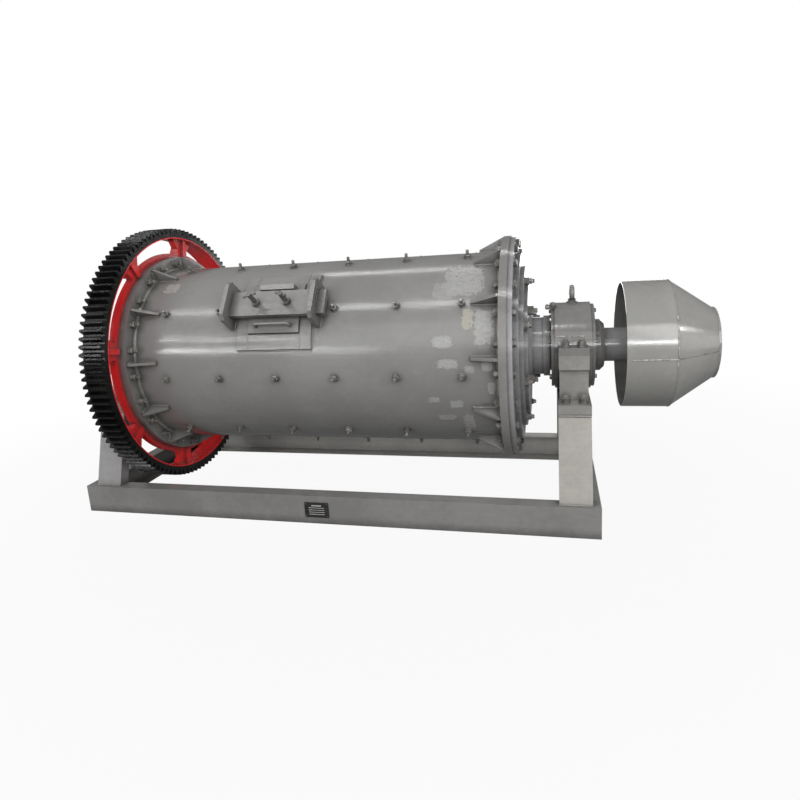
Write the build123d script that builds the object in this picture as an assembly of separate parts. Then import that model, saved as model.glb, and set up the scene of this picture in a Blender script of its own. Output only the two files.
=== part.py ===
from build123d import *

import os
from math import asin, atan2, cos, degrees, pi, radians, sin, sqrt, tan

# A small overhung-gear ball mill on a welded channel frame. Millimetres, +Z up.
# +X runs along the mill towards the feed end, and -Y is the side with the hatch and the nameplate.
# Stations along the mill are measured from the middle of the shell, and the axis is a height of its own.

# Shell
shell_bore_radius = 450.0
shell_plate = 10.0
shell_clear_length = 1772.0
shell_flange_rise = 70.0
shell_flange_thickness = 34.0

# Gussets between the shell and its flanges
gusset_count = 12
gusset_first_angle = 4.0
gusset_length = 122.0
gusset_thickness = 14.0
gusset_nose = 12.0
gusset_rim_step = 4.0
gusset_shoulder = 10.0

# Girth gear
gear_module = 12.0
gear_face_width = 120.0
gear_rim_thickness = 26.0
gear_pressure_angle = 20.0
gear_setback = 6.0

# Gear spider: a ring bolted behind the shell flange, and arms out to the rim
spider_ring_rise = 23.0
spider_ring_lap = 30.0
spider_thickness = 36.0
spider_arm_span = 78.0
spider_arm_count = 8
spider_first_angle = 11.0
spider_arm_width = 84.0
spider_arm_rim_width = 150.0
spider_arm_foot_height = 14.0
spider_rib_thickness = 26.0
spider_rib_front_reach = 14.0
spider_rib_back_reach = 42.0
spider_rib_rim_reach = 20.0

# Stepped heads
head_flange_thickness = 23.0
head_flange_step = 8.0
head_spigot_length = 8.0
head_spigot_clearance = 0.5
head_step_insets = [82.0, 145.0, 200.0]
head_step_depths = [22.0, 18.0, 15.0]
head_hub_rise = 37.0
head_hub_nose = 14.0
head_hub_chamfer = 23.0
discharge_head_step = 14.0

# Hollow trunnions, set in the heads
trunnion_bore_radius = 79.5
journal_radius = 120.0
neck_shoulder = 18.0
neck_collar_rise = 8.0
neck_collar_length = 30.0
feed_neck_length = 93.0
discharge_neck_length = 50.0

# Bearings
bearing_running_clearance = 0.06
bearing_barrel_wall = 85.0
bearing_barrel_width = 160.0
bearing_wall_width = 124.0
bearing_wall_margin = 57.0
bearing_ear_width = 130.0
bearing_ear_overhang = 18.0
cap_ear_thickness = 35.0
base_ear_depth = 62.0
bearing_foot_lap = 5.0
bearing_foot_thickness = 47.0
bearing_foot_overhang = 103.0
bearing_foot_width = 140.0
cap_boss_radius = 26.0
cap_boss_height = 4.0
cover_inset = 9.0
cover_thickness = 16.0
cover_shaft_gap = 3.0
seal_boss_wall = 42.5
seal_boss_length = 46.0
seal_boss_chamfer = 18.0
trunnion_end_gap = 6.0
discharge_trunnion_overhang = 20.0

# Lifting eyes on the bearing caps
eye_ring_radius = 26.0
eye_bar_radius = 12.0
eye_collar_radius = 18.0
eye_collar_height = 14.0

# Feed pipe and feeder
pipe_wall = 6.0
pipe_insertion = 180.0
feeder_gap = 75.0
feeder_drum_radius = 292.0
feeder_drum_length = 202.0
feeder_cone_length = 185.0
feeder_mouth_radius = 161.0
feeder_lip_length = 10.0
feeder_wall = 6.0
feeder_plate_inset = 96.0
feeder_plate_thickness = 8.0

# Hatch, by the station of its middle and its angle above the horizontal
hatch_station = -139.0
hatch_angle = 35.0
hatch_opening_half_length = 105.0
hatch_opening_half_width = 100.0
hatch_cover_length_lap = 21.0
hatch_cover_width_lap = 24.0
hatch_cover_thickness = 20.0
hatch_plug_depth = 14.0
hatch_plug_clearance = 4.0
hatch_frame_end_bar = 56.0
hatch_frame_side_bar = 66.0
hatch_frame_thickness = 12.0
hatch_frame_clearance = 3.0
bracket_frame_gap = 19.0
bracket_thickness = 20.0
bracket_cheek = 37.0
bracket_crown = 52.0
bracket_corner = 22.0
yoke_cover_gap = 17.0
yoke_thickness = 25.0
yoke_half_width = 62.0
yoke_slot_clearance = 1.0
yoke_discharge_overhang = 8.0
yoke_feed_overhang = 35.0
screw_half_spacing = 76.0
screw_radius = 11.0
screw_hole_clearance = 1.0
screw_rise = 86.0
screw_nut_flats = 34.0
screw_nut_height = 18.0
handle_yoke_gap = 21.0
handle_half_length = 85.0
handle_standoff = 34.0
handle_bar_radius = 7.0
flat_handle_width = 26.0
flat_handle_thickness = 8.0

# Frame of rolled channels, webs outwards
gear_floor_gap = 64.0
frame_discharge_overhang = 120.0
frame_feed_overhang = 103.0
frame_half_width = 500.0
beam_height = 139.0
beam_depth = 72.0
channel_web = 8.0
channel_flange_root = 11.0
channel_flange_toe = 7.0
leg_width = 138.0
leg_depth = 57.0
leg_inset = 22.0

# Nameplate on the front beam
nameplate_station = 15.0
nameplate_length = 120.0
nameplate_height = 75.0
nameplate_thickness = 2.0
nameplate_corner = 5.0

# Worked-out radii
shell_outer_radius = shell_bore_radius + shell_plate
shell_flange_radius = shell_outer_radius + shell_flange_rise
spider_ring_radius = shell_flange_radius + spider_ring_rise
head_flange_radius = shell_flange_radius - head_flange_step
spider_ring_bore_radius = shell_bore_radius - spider_ring_lap
gear_size = 2 * (spider_ring_radius + spider_arm_span + gear_rim_thickness) / gear_module
gear_teeth = round(gear_size + 2.5)
gear_tip_radius = gear_module * (gear_teeth + 2) / 2
gear_root_radius = gear_module * (gear_teeth - 2.5) / 2
gear_rim_bore_radius = gear_root_radius - gear_rim_thickness
neck_radius = journal_radius + neck_shoulder
neck_collar_radius = neck_radius + neck_collar_rise
head_hub_radius = neck_radius + head_hub_rise
bearing_bore_radius = journal_radius + bearing_running_clearance
bearing_barrel_radius = journal_radius + bearing_barrel_wall
cover_radius = bearing_barrel_radius - cover_inset
pipe_outer_radius = trunnion_bore_radius
seal_boss_radius = pipe_outer_radius + seal_boss_wall

# Worked-out stations along the mill
shell_half_clear = shell_clear_length / 2
flange_outer_station = shell_half_clear + shell_flange_thickness
gear_feed_face = -shell_half_clear - gear_setback
gear_discharge_face = gear_feed_face - gear_face_width
spider_back = -flange_outer_station - spider_thickness
feed_head_end = flange_outer_station + head_flange_thickness + sum(head_step_depths)
discharge_head_back = spider_back - head_flange_thickness
discharge_head_end = discharge_head_back - discharge_head_step
feed_neck_end = feed_head_end + feed_neck_length
discharge_neck_end = discharge_head_end - discharge_neck_length
bearing_half_reach = bearing_barrel_width / 2 + cover_thickness
feed_bearing_station = feed_neck_end + trunnion_end_gap + bearing_half_reach
discharge_bearing_station = discharge_neck_end - trunnion_end_gap - bearing_half_reach
feeder_start_station = feed_bearing_station + bearing_half_reach + seal_boss_length + feeder_gap
feeder_cone_station = feeder_start_station + feeder_drum_length
feeder_lip_station = feeder_cone_station + feeder_cone_length
feeder_end_station = feeder_lip_station + feeder_lip_length
feeder_plate_station = feeder_start_station + feeder_plate_inset
frame_discharge_end = discharge_bearing_station - frame_discharge_overhang
frame_feed_end = feed_bearing_station + frame_feed_overhang
mill_middle = -(frame_discharge_end + feeder_end_station) / 2

# Worked-out hatch sizes
hatch_cover_half_length = hatch_opening_half_length + hatch_cover_length_lap
hatch_cover_half_width = hatch_opening_half_width + hatch_cover_width_lap
hatch_frame_half_length = hatch_cover_half_length + hatch_frame_clearance + hatch_frame_end_bar
hatch_frame_half_width = hatch_cover_half_width + hatch_frame_clearance + hatch_frame_side_bar
cover_top_radius = shell_outer_radius + hatch_cover_thickness
yoke_underside_radius = cover_top_radius + yoke_cover_gap
yoke_top_radius = yoke_underside_radius + yoke_thickness
bracket_half_spacing = hatch_frame_half_length + bracket_frame_gap + bracket_thickness / 2
bracket_half_width = yoke_half_width + yoke_slot_clearance + bracket_cheek
bracket_top_radius = yoke_top_radius + yoke_slot_clearance + bracket_crown
screw_outer_end_radius = yoke_top_radius + screw_rise
handle_offset = yoke_half_width + handle_yoke_gap + flat_handle_width / 2

# Worked-out heights and widths of the bearings and the frame
bearing_wall_half_span = bearing_barrel_radius + bearing_wall_margin
bearing_ear_half_span = bearing_wall_half_span + bearing_ear_overhang
bearing_foot_half_span = bearing_wall_half_span + bearing_foot_overhang
foot_underside = bearing_foot_lap - bearing_barrel_radius - bearing_foot_thickness
axis_height = gear_tip_radius + gear_floor_gap
leg_height = axis_height + foot_underside - beam_height
leg_run = frame_half_width - leg_inset - bearing_foot_half_span
leg_lean = degrees(atan2(leg_run, leg_height))


def turned(profile):
    """A body turned about the mill's axis from half of its section, given as (station, radius) points."""
    outline = Polyline([(station, 0, radius) for station, radius in profile], close=True)
    return revolve(make_face(outline), Axis.X)


def ring(start, end, outer, inner):
    """A plain ring about the mill's axis between two stations."""
    return turned([(start, inner), (end, inner), (end, outer), (start, outer)])


def tube_cut(start, end, radius):
    """A solid rod on the mill's axis, for cutting bores."""
    return turned([(start, 0), (end, 0), (end, radius), (start, radius)])


def block(x_range, y_range, z_range):
    """A box given by its limits."""
    size = [high - low for low, high in (x_range, y_range, z_range)]
    middle = [(high + low) / 2 for low, high in (x_range, y_range, z_range)]
    return Pos(*middle) * Box(*size)


def at_angle(piece, angle):
    """Turns a piece that was built on top of the mill to its angle above the horizontal."""
    return Rot(90 - angle, 0, 0) * piece


def end_to_end(piece):
    """The same piece for the other end of the shell."""
    return mirror(piece, Plane.YZ)


# Shell and its flanges

def make_shell():
    """The shell plate with the hatch opening cut through it."""
    tube = ring(-flange_outer_station, flange_outer_station, shell_outer_radius, shell_bore_radius)
    opening = block(
        (hatch_station - hatch_opening_half_length, hatch_station + hatch_opening_half_length),
        (-hatch_opening_half_width, hatch_opening_half_width),
        (0, shell_flange_radius),
    )
    return tube - at_angle(opening, hatch_angle)


def make_flange():
    """The feed end's shell flange."""
    return ring(shell_half_clear, flange_outer_station, shell_flange_radius, shell_outer_radius)


def make_gussets():
    """The feed end's gussets, one behind each other around the shell."""
    foot = shell_outer_radius * cos(asin(gusset_thickness / 2 / shell_outer_radius))
    top = shell_flange_radius - gusset_rim_step
    start = shell_half_clear - gusset_length
    outline = Polyline(
        [
            (start, 0, foot),
            (shell_half_clear, 0, foot),
            (shell_half_clear, 0, top),
            (shell_half_clear - gusset_shoulder, 0, top),
            (start, 0, shell_outer_radius + gusset_nose),
        ],
        close=True,
    )
    plate = extrude(make_face(outline), gusset_thickness / 2, both=True)
    plate -= tube_cut(start, shell_half_clear, shell_outer_radius)
    step = 360 / gusset_count
    return [at_angle(plate, gusset_first_angle + index * step) for index in range(gusset_count)]


# Girth gear

def tooth_half_angle(radius):
    """Half of the angle that a tooth covers at a radius, from the involute of its base circle."""
    pitch_radius = gear_module * gear_teeth / 2
    base_radius = pitch_radius * cos(radians(gear_pressure_angle))
    pressure = radians(gear_pressure_angle)
    cosine = min(1.0, base_radius / radius)
    local = pi / 2 - asin(cosine)
    return pi / (2 * gear_teeth) + (tan(pressure) - pressure) - (tan(local) - local)


def make_girth_gear():
    """The toothed rim."""
    pitch = 2 * pi / gear_teeth
    flank_radii = [gear_root_radius, gear_module * gear_teeth / 2, gear_tip_radius]
    outline = []
    for index in range(gear_teeth):
        middle = index * pitch
        rising = [(radius, middle - tooth_half_angle(radius)) for radius in flank_radii]
        falling = [(radius, middle + tooth_half_angle(radius)) for radius in reversed(flank_radii)]
        outline += [(radius * cos(angle), radius * sin(angle)) for radius, angle in rising + falling]
    face = make_face(Polyline(outline, close=True))
    rim = extrude(Plane.YZ.offset(gear_discharge_face) * face, gear_face_width)
    return rim - tube_cut(gear_discharge_face, gear_feed_face, gear_rim_bore_radius)


def make_spider_arm():
    """One arm on top of the mill: a web that flares at the rim, with a rib across it on both sides."""
    foot = spider_ring_radius - spider_arm_foot_height
    knee = gear_rim_bore_radius - spider_arm_foot_height
    web_outline = Polyline(
        [
            (-spider_arm_width / 2, foot),
            (spider_arm_width / 2, foot),
            (spider_arm_width / 2, (foot + knee) / 2),
            (spider_arm_rim_width / 2, knee),
            (spider_arm_rim_width / 2, gear_tip_radius),
            (-spider_arm_rim_width / 2, gear_tip_radius),
            (-spider_arm_rim_width / 2, knee),
            (-spider_arm_width / 2, (foot + knee) / 2),
        ],
        close=True,
    )
    web = extrude(Plane.YZ.offset(spider_back) * make_face(web_outline), spider_thickness)
    web_front = -flange_outer_station
    rib_outline = Polyline(
        [
            (web_front + spider_rib_front_reach, 0, foot),
            (web_front + spider_rib_front_reach, 0, gear_tip_radius),
            (spider_back - spider_rib_rim_reach, 0, gear_tip_radius),
            (spider_back - spider_rib_rim_reach, 0, knee),
            (spider_back - spider_rib_back_reach, 0, foot),
        ],
        close=True,
    )
    rib = extrude(make_face(rib_outline), spider_rib_thickness / 2, both=True)
    return (web + rib) & ring(gear_discharge_face, gear_feed_face, gear_rim_bore_radius, foot)


def make_gear_spider():
    """The red wheel centre: its ring, and the arms that end on the rim's bore."""
    centre = ring(spider_back, -flange_outer_station, spider_ring_radius, spider_ring_bore_radius)
    arm = make_spider_arm()
    step = 360 / spider_arm_count
    for index in range(spider_arm_count):
        centre += at_angle(arm, spider_first_angle + index * step)
    return centre


# Heads and trunnions

def make_feed_head():
    """The stepped feed head, bored for its trunnion."""
    face = flange_outer_station
    back = face + head_flange_thickness
    spigot_radius = shell_bore_radius - head_spigot_clearance
    profile = [
        (face - head_spigot_length, neck_radius),
        (face - head_spigot_length, spigot_radius),
        (face, spigot_radius),
        (face, head_flange_radius),
        (back, head_flange_radius),
    ]
    station = back
    for inset, depth in zip(head_step_insets, head_step_depths):
        radius = shell_flange_radius - inset
        profile += [(station, radius), (station + depth, radius)]
        station += depth
    profile += [
        (station, head_hub_radius),
        (station + head_hub_nose, head_hub_radius - head_hub_chamfer),
        (station + head_hub_nose, neck_radius),
    ]
    return turned(profile)


def make_feed_trunnion():
    """The feed end's neck with its collar and hollow journal."""
    start = flange_outer_station - head_spigot_length
    journal_end = feed_bearing_station + bearing_barrel_width / 2 + trunnion_end_gap
    return turned(
        [
            (start, trunnion_bore_radius),
            (start, neck_radius),
            (feed_neck_end - neck_collar_length, neck_radius),
            (feed_neck_end - neck_collar_length, neck_collar_radius),
            (feed_neck_end, neck_collar_radius),
            (feed_neck_end, journal_radius),
            (journal_end, journal_radius),
            (journal_end, trunnion_bore_radius),
        ]
    )


def make_discharge_head():
    """The flatter discharge head behind the gear, bored for its trunnion."""
    spigot_radius = spider_ring_bore_radius - head_spigot_clearance
    step_radius = shell_flange_radius - head_step_insets[1]
    nose = discharge_head_end - head_hub_nose
    return turned(
        [
            (-flange_outer_station, neck_collar_radius),
            (-flange_outer_station, spigot_radius),
            (spider_back, spigot_radius),
            (spider_back, head_flange_radius),
            (discharge_head_back, head_flange_radius),
            (discharge_head_back, step_radius),
            (discharge_head_end, step_radius),
            (discharge_head_end, head_hub_radius),
            (nose, head_hub_radius - head_hub_chamfer),
            (nose, neck_collar_radius),
        ]
    )


def make_discharge_trunnion():
    """The discharge end's neck with its hollow journal."""
    outer_cover = discharge_bearing_station - bearing_half_reach
    journal_end = outer_cover - discharge_trunnion_overhang
    return turned(
        [
            (-flange_outer_station, trunnion_bore_radius),
            (-flange_outer_station, neck_collar_radius),
            (discharge_neck_end, neck_collar_radius),
            (discharge_neck_end, journal_radius),
            (journal_end, journal_radius),
            (journal_end, trunnion_bore_radius),
        ]
    )


# Feed pipe and feeder

def make_feed_pipe():
    """The pipe that carries the feeder, seated in the trunnion's bore."""
    start = feed_bearing_station + bearing_barrel_width / 2 + trunnion_end_gap - pipe_insertion
    end = feeder_plate_station + feeder_plate_thickness
    return ring(start, end, pipe_outer_radius, pipe_outer_radius - pipe_wall)


def make_feeder_plate():
    """The ring plate that joins the feeder drum to the pipe."""
    outer = feeder_drum_radius - feeder_wall
    end = feeder_plate_station + feeder_plate_thickness
    return ring(feeder_plate_station, end, outer, pipe_outer_radius)


def make_feeder_drum():
    """The feeder's cylinder, open at both ends."""
    inner = feeder_drum_radius - feeder_wall
    return ring(feeder_start_station, feeder_cone_station, feeder_drum_radius, inner)


def make_feeder_cone():
    """The feeder's cone with the short lip of its mouth."""
    return turned(
        [
            (feeder_cone_station, feeder_drum_radius - feeder_wall),
            (feeder_cone_station, feeder_drum_radius),
            (feeder_lip_station, feeder_mouth_radius),
            (feeder_end_station, feeder_mouth_radius),
            (feeder_end_station, feeder_mouth_radius - feeder_wall),
            (feeder_lip_station, feeder_mouth_radius - feeder_wall),
        ]
    )


# Hatch, built on top of the shell and turned to its angle

def hatch_pad(half_length, half_width, outer, inner):
    """A curved plate that lies round the shell at the hatch."""
    start = hatch_station - half_length
    end = hatch_station + half_length
    return ring(start, end, outer, inner) & block((start, end), (-half_width, half_width), (0, outer))


def make_hatch_frame():
    """The curved frame of flat bars around the cover."""
    outer = shell_outer_radius + hatch_frame_thickness
    pad = hatch_pad(hatch_frame_half_length, hatch_frame_half_width, outer, shell_outer_radius)
    gap_length = hatch_cover_half_length + hatch_frame_clearance
    gap_width = hatch_cover_half_width + hatch_frame_clearance
    gap = block(
        (hatch_station - gap_length, hatch_station + gap_length), (-gap_width, gap_width), (0, outer)
    )
    return at_angle(pad - gap, hatch_angle)


def make_hatch_cover():
    """The curved cover with the plug that fills the opening."""
    pad = hatch_pad(
        hatch_cover_half_length, hatch_cover_half_width, cover_top_radius, shell_outer_radius
    )
    plug = hatch_pad(
        hatch_opening_half_length - hatch_plug_clearance,
        hatch_opening_half_width - hatch_plug_clearance,
        shell_outer_radius,
        shell_outer_radius - hatch_plug_depth,
    )
    return at_angle(pad + plug, hatch_angle)


def make_hatch_bracket(side):
    """One of the two plates that hold the yoke, welded across the shell."""
    middle = hatch_station + side * bracket_half_spacing
    top = bracket_top_radius
    outline = Polyline(
        [
            (-bracket_half_width, 0),
            (bracket_half_width, 0),
            (bracket_half_width, top - bracket_corner),
            (bracket_half_width - bracket_corner, top),
            (bracket_corner - bracket_half_width, top),
            (-bracket_half_width, top - bracket_corner),
        ],
        close=True,
    )
    plate = extrude(Plane.YZ.offset(middle - bracket_thickness / 2) * make_face(outline), bracket_thickness)
    plate -= tube_cut(middle - bracket_thickness, middle + bracket_thickness, shell_outer_radius)
    slot_width = yoke_half_width + yoke_slot_clearance
    slot = block(
        (middle - bracket_thickness, middle + bracket_thickness),
        (-slot_width, slot_width),
        (yoke_underside_radius, yoke_top_radius + yoke_slot_clearance),
    )
    return at_angle(plate - slot, hatch_angle)


def make_hatch_yoke():
    """The flat bar through both brackets, drilled for the two screws."""
    reach = bracket_half_spacing + bracket_thickness / 2
    bar = block(
        (hatch_station - reach - yoke_discharge_overhang, hatch_station + reach + yoke_feed_overhang),
        (-yoke_half_width, yoke_half_width),
        (yoke_underside_radius, yoke_top_radius),
    )
    hole = Cylinder(screw_radius + screw_hole_clearance, yoke_thickness)
    middle = yoke_underside_radius + yoke_thickness / 2
    for side in (-1, 1):
        bar -= Pos(hatch_station + side * screw_half_spacing, 0, middle) * hole
    return at_angle(bar, hatch_angle)


def make_hatch_screws():
    """The two screws that press on the cover, each with its nut on the yoke."""
    seat = cover_top_radius
    length = screw_outer_end_radius - seat
    nut = extrude(RegularPolygon(screw_nut_flats / 2, 6, major_radius=False), screw_nut_height)
    screws = []
    for side in (-1, 1):
        station = hatch_station + side * screw_half_spacing
        shank = Pos(station, 0, seat + length / 2) * Cylinder(screw_radius, length)
        screws.append(at_angle(shank + Pos(station, 0, yoke_top_radius) * nut, hatch_angle))
    return screws


def make_cover_handles():
    """The round bar handle below the yoke and the flat bar handle above it."""
    seat = sqrt(cover_top_radius**2 - (handle_offset + flat_handle_width / 2) ** 2)
    crown = seat + handle_standoff
    start = hatch_station - handle_half_length
    end = hatch_station + handle_half_length
    path = FilletPolyline(
        [(start, -handle_offset, seat), (start, -handle_offset, crown), (end, -handle_offset, crown),
         (end, -handle_offset, seat)],
        radius=2 * handle_bar_radius,
    )
    round_handle = sweep(Plane(path @ 0, z_dir=path % 0) * Circle(handle_bar_radius), path=path)
    flat_y = (handle_offset - flat_handle_width / 2, handle_offset + flat_handle_width / 2)
    flat_handle = block((start, end), flat_y, (crown - flat_handle_thickness, crown))
    for station in (start, end - flat_handle_thickness):
        flat_handle += block((station, station + flat_handle_thickness), flat_y, (seat, crown))
    cover_surface = tube_cut(start - handle_bar_radius, end + handle_bar_radius, cover_top_radius)
    return [at_angle(round_handle - cover_surface, hatch_angle), at_angle(flat_handle - cover_surface, hatch_angle)]


# Frame

def channel_section(height, depth):
    """The section of a rolled channel with its web on the left and tapered flanges to the right."""
    return make_face(
        Polyline(
            [
                (0, 0),
                (depth, 0),
                (depth, channel_flange_toe),
                (channel_web, channel_flange_root),
                (channel_web, height - channel_flange_root),
                (depth, height - channel_flange_toe),
                (depth, height),
                (0, height),
            ],
            close=True,
        )
    )


def plan_prism(points):
    """An upright prism of the beam's height over an outline on the floor."""
    return extrude(make_face(Polyline(points, close=True)), beam_height)


def make_front_beam():
    """The long channel under the hatch side, mitred at both ends."""
    section = Plane((frame_discharge_end, -frame_half_width, 0), x_dir=(0, 1, 0), z_dir=(1, 0, 0))
    bar = extrude(section * channel_section(beam_height, beam_depth), frame_feed_end - frame_discharge_end)
    mitre = plan_prism(
        [
            (frame_discharge_end, -frame_half_width),
            (frame_feed_end, -frame_half_width),
            (frame_feed_end - beam_depth, beam_depth - frame_half_width),
            (frame_discharge_end + beam_depth, beam_depth - frame_half_width),
        ]
    )
    return bar & mitre


def make_discharge_cross_beam():
    """The short channel across the discharge end, mitred into the long ones."""
    section = Plane((frame_discharge_end, frame_half_width, 0), x_dir=(1, 0, 0), z_dir=(0, -1, 0))
    bar = extrude(section * channel_section(beam_height, beam_depth), 2 * frame_half_width)
    mitre = plan_prism(
        [
            (frame_discharge_end, -frame_half_width),
            (frame_discharge_end, frame_half_width),
            (frame_discharge_end + beam_depth, frame_half_width - beam_depth),
            (frame_discharge_end + beam_depth, beam_depth - frame_half_width),
        ]
    )
    return bar & mitre


def make_front_leg(station):
    """A leaning channel from the front beam up to the bearing's foot, cut level at both ends."""
    length = 2 * leg_depth + leg_height / cos(radians(leg_lean))
    section = Plane((0, 0, 0), x_dir=(0, 1, 0), z_dir=(0, 0, 1))
    flat = section * Pos(0, -leg_width / 2) * channel_section(leg_width, leg_depth)
    bar = Pos(0, 0, -leg_depth) * extrude(flat, length)
    leaning = Pos(station, leg_inset - frame_half_width, 0) * Rot(-leg_lean, 0, 0) * bar
    keep = block(
        (station - leg_width, station + leg_width),
        (-frame_half_width, 0),
        (0, leg_height),
    )
    return Pos(0, 0, beam_height) * (leaning & keep)


# Bearings, built about the axis at station 0

def make_bearing_base():
    """The lower half of the bearing body on its long foot."""
    foot_top = foot_underside + bearing_foot_thickness
    half = bearing_foot_width / 2
    span = (-bearing_foot_half_span, bearing_foot_half_span)
    body = block((-half, half), span, (foot_underside, foot_top))
    wall = (-bearing_wall_half_span, bearing_wall_half_span)
    body += block((-bearing_wall_width / 2, bearing_wall_width / 2), wall, (foot_top, 0))
    ear = (-bearing_ear_half_span, bearing_ear_half_span)
    body += block((-bearing_ear_width / 2, bearing_ear_width / 2), ear, (-base_ear_depth, 0))
    half_barrel = bearing_barrel_width / 2
    barrel = tube_cut(-half_barrel, half_barrel, bearing_barrel_radius)
    lower = block(
        (-half_barrel, half_barrel),
        (-bearing_barrel_radius, bearing_barrel_radius),
        (-bearing_barrel_radius, 0),
    )
    body += barrel & lower
    return body - tube_cut(-half_barrel, half_barrel, bearing_bore_radius)


def make_bearing_cap():
    """The upper half of the bearing body with its ears and the boss of the lifting eye."""
    half_barrel = bearing_barrel_width / 2
    barrel = tube_cut(-half_barrel, half_barrel, bearing_barrel_radius)
    upper = block(
        (-half_barrel, half_barrel),
        (-bearing_ear_half_span, bearing_ear_half_span),
        (0, bearing_barrel_radius),
    )
    body = barrel & upper
    ear = (-bearing_ear_half_span, bearing_ear_half_span)
    body += block((-bearing_ear_width / 2, bearing_ear_width / 2), ear, (0, cap_ear_thickness))
    boss_top = bearing_barrel_radius + cap_boss_height
    boss = Pos(0, 0, boss_top / 2) * Cylinder(cap_boss_radius, boss_top)
    body += boss - tube_cut(-half_barrel, half_barrel, (bearing_barrel_radius + bearing_bore_radius) / 2)
    return body - tube_cut(-half_barrel, half_barrel, bearing_bore_radius)


def make_lifting_eye():
    """The eye bolt on top of a cap, its ring across the mill."""
    seat = bearing_barrel_radius + cap_boss_height
    collar = Pos(0, 0, seat + eye_collar_height / 2) * Cylinder(eye_collar_radius, eye_collar_height)
    centre = seat + eye_collar_height + eye_ring_radius
    return collar + Pos(0, 0, centre) * Rot(0, 90, 0) * Torus(eye_ring_radius, eye_bar_radius)


def make_plain_cover():
    """A flat cover ring on the discharge side of a bearing."""
    face = -bearing_barrel_width / 2
    return ring(face - cover_thickness, face, cover_radius, journal_radius + cover_shaft_gap)


def make_boss_cover():
    """The feed bearing's outer cover with its seal boss; a pocket clears the end of the journal."""
    face = bearing_barrel_width / 2
    boss_start = face + cover_thickness
    boss_end = boss_start + seal_boss_length
    pocket_end = face + trunnion_end_gap + cover_shaft_gap
    gap_radius = pipe_outer_radius + cover_shaft_gap
    pocket_radius = journal_radius + cover_shaft_gap
    return turned(
        [
            (face, cover_radius),
            (boss_start, cover_radius),
            (boss_start, seal_boss_radius),
            (boss_end - seal_boss_chamfer, seal_boss_radius),
            (boss_end, seal_boss_radius - seal_boss_chamfer),
            (boss_end, gap_radius),
            (pocket_end, gap_radius),
            (pocket_end, pocket_radius),
            (face, pocket_radius),
        ]
    )


def make_nameplate():
    """The blank nameplate on the front beam."""
    plate = RectangleRounded(nameplate_length, nameplate_height, nameplate_corner)
    solid = extrude(Plane.XZ * plate, nameplate_thickness)
    return Pos(nameplate_station, -frame_half_width, beam_height / 2) * solid


def collect():
    """Every node of the mill, in the mill's own frame."""
    flange = make_flange()
    gussets = make_gussets()
    on_axis = {
        "shell": [make_shell()],
        "feed_flange": [flange],
        "discharge_flange": [end_to_end(flange)],
        "feed_gussets": gussets,
        "discharge_gussets": [end_to_end(gusset) for gusset in gussets],
        "girth_gear": [make_girth_gear()],
        "gear_spider": [make_gear_spider()],
        "feed_head": [make_feed_head()],
        "feed_trunnion": [make_feed_trunnion()],
        "discharge_head": [make_discharge_head()],
        "discharge_trunnion": [make_discharge_trunnion()],
        "feed_pipe": [make_feed_pipe()],
        "feeder_plate": [make_feeder_plate()],
        "feeder_drum": [make_feeder_drum()],
        "feeder_cone": [make_feeder_cone()],
        "hatch_frame": [make_hatch_frame()],
        "hatch_cover": [make_hatch_cover()],
        "hatch_bracket_discharge": [make_hatch_bracket(-1)],
        "hatch_bracket_feed": [make_hatch_bracket(1)],
        "hatch_yoke": [make_hatch_yoke()],
        "hatch_screws": make_hatch_screws(),
        "cover_handles": make_cover_handles(),
    }
    feed = Pos(feed_bearing_station, 0, 0)
    discharge = Pos(discharge_bearing_station, 0, 0)
    base = make_bearing_base()
    cap = make_bearing_cap()
    eye = make_lifting_eye()
    plain_cover = make_plain_cover()
    on_axis["feed_bearing_base"] = [feed * base]
    on_axis["feed_bearing_cap"] = [feed * cap]
    on_axis["feed_inner_cover"] = [feed * plain_cover]
    on_axis["feed_outer_cover"] = [feed * make_boss_cover()]
    on_axis["feed_lifting_eye"] = [feed * eye]
    on_axis["discharge_bearing_base"] = [discharge * base]
    on_axis["discharge_bearing_cap"] = [discharge * cap]
    on_axis["discharge_inner_cover"] = [discharge * end_to_end(plain_cover)]
    on_axis["discharge_outer_cover"] = [discharge * plain_cover]
    on_axis["discharge_lifting_eye"] = [discharge * eye]
    front_beam = make_front_beam()
    cross_beam = make_discharge_cross_beam()
    frame_middle = (frame_discharge_end + frame_feed_end) / 2
    feed_leg = make_front_leg(feed_bearing_station)
    discharge_leg = make_front_leg(discharge_bearing_station)
    on_floor = {
        "front_beam": [front_beam],
        "back_beam": [mirror(front_beam, Plane.XZ)],
        "discharge_cross_beam": [cross_beam],
        "feed_cross_beam": [mirror(cross_beam, Plane.YZ.offset(frame_middle))],
        "feed_front_leg": [feed_leg],
        "feed_back_leg": [mirror(feed_leg, Plane.XZ)],
        "discharge_front_leg": [discharge_leg],
        "discharge_back_leg": [mirror(discharge_leg, Plane.XZ)],
        "nameplate": [make_nameplate()],
    }
    raised = Pos(mill_middle, 0, axis_height)
    nodes = {name: [raised * solid for solid in solids] for name, solids in on_axis.items()}
    floored = Pos(mill_middle, 0, 0)
    nodes.update({name: [floored * solid for solid in solids] for name, solids in on_floor.items()})
    return nodes


def main():
    """Writes one file for each node."""
    os.makedirs("parts", exist_ok=True)
    for name, solids in collect().items():
        piece = solids[0] if len(solids) == 1 else Compound(children=solids)
        export_step(piece, f"parts/{name}.step")


main()
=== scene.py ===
"""Looks of a ball mill: its paint, fastenings and welds, and a plain studio around its solids."""
import logging
import math
from dataclasses import dataclass, field
from enum import Enum
from typing import Any, Callable, ClassVar, Iterable, Sequence

import bpy
from mathutils import Matrix, Vector


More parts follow.
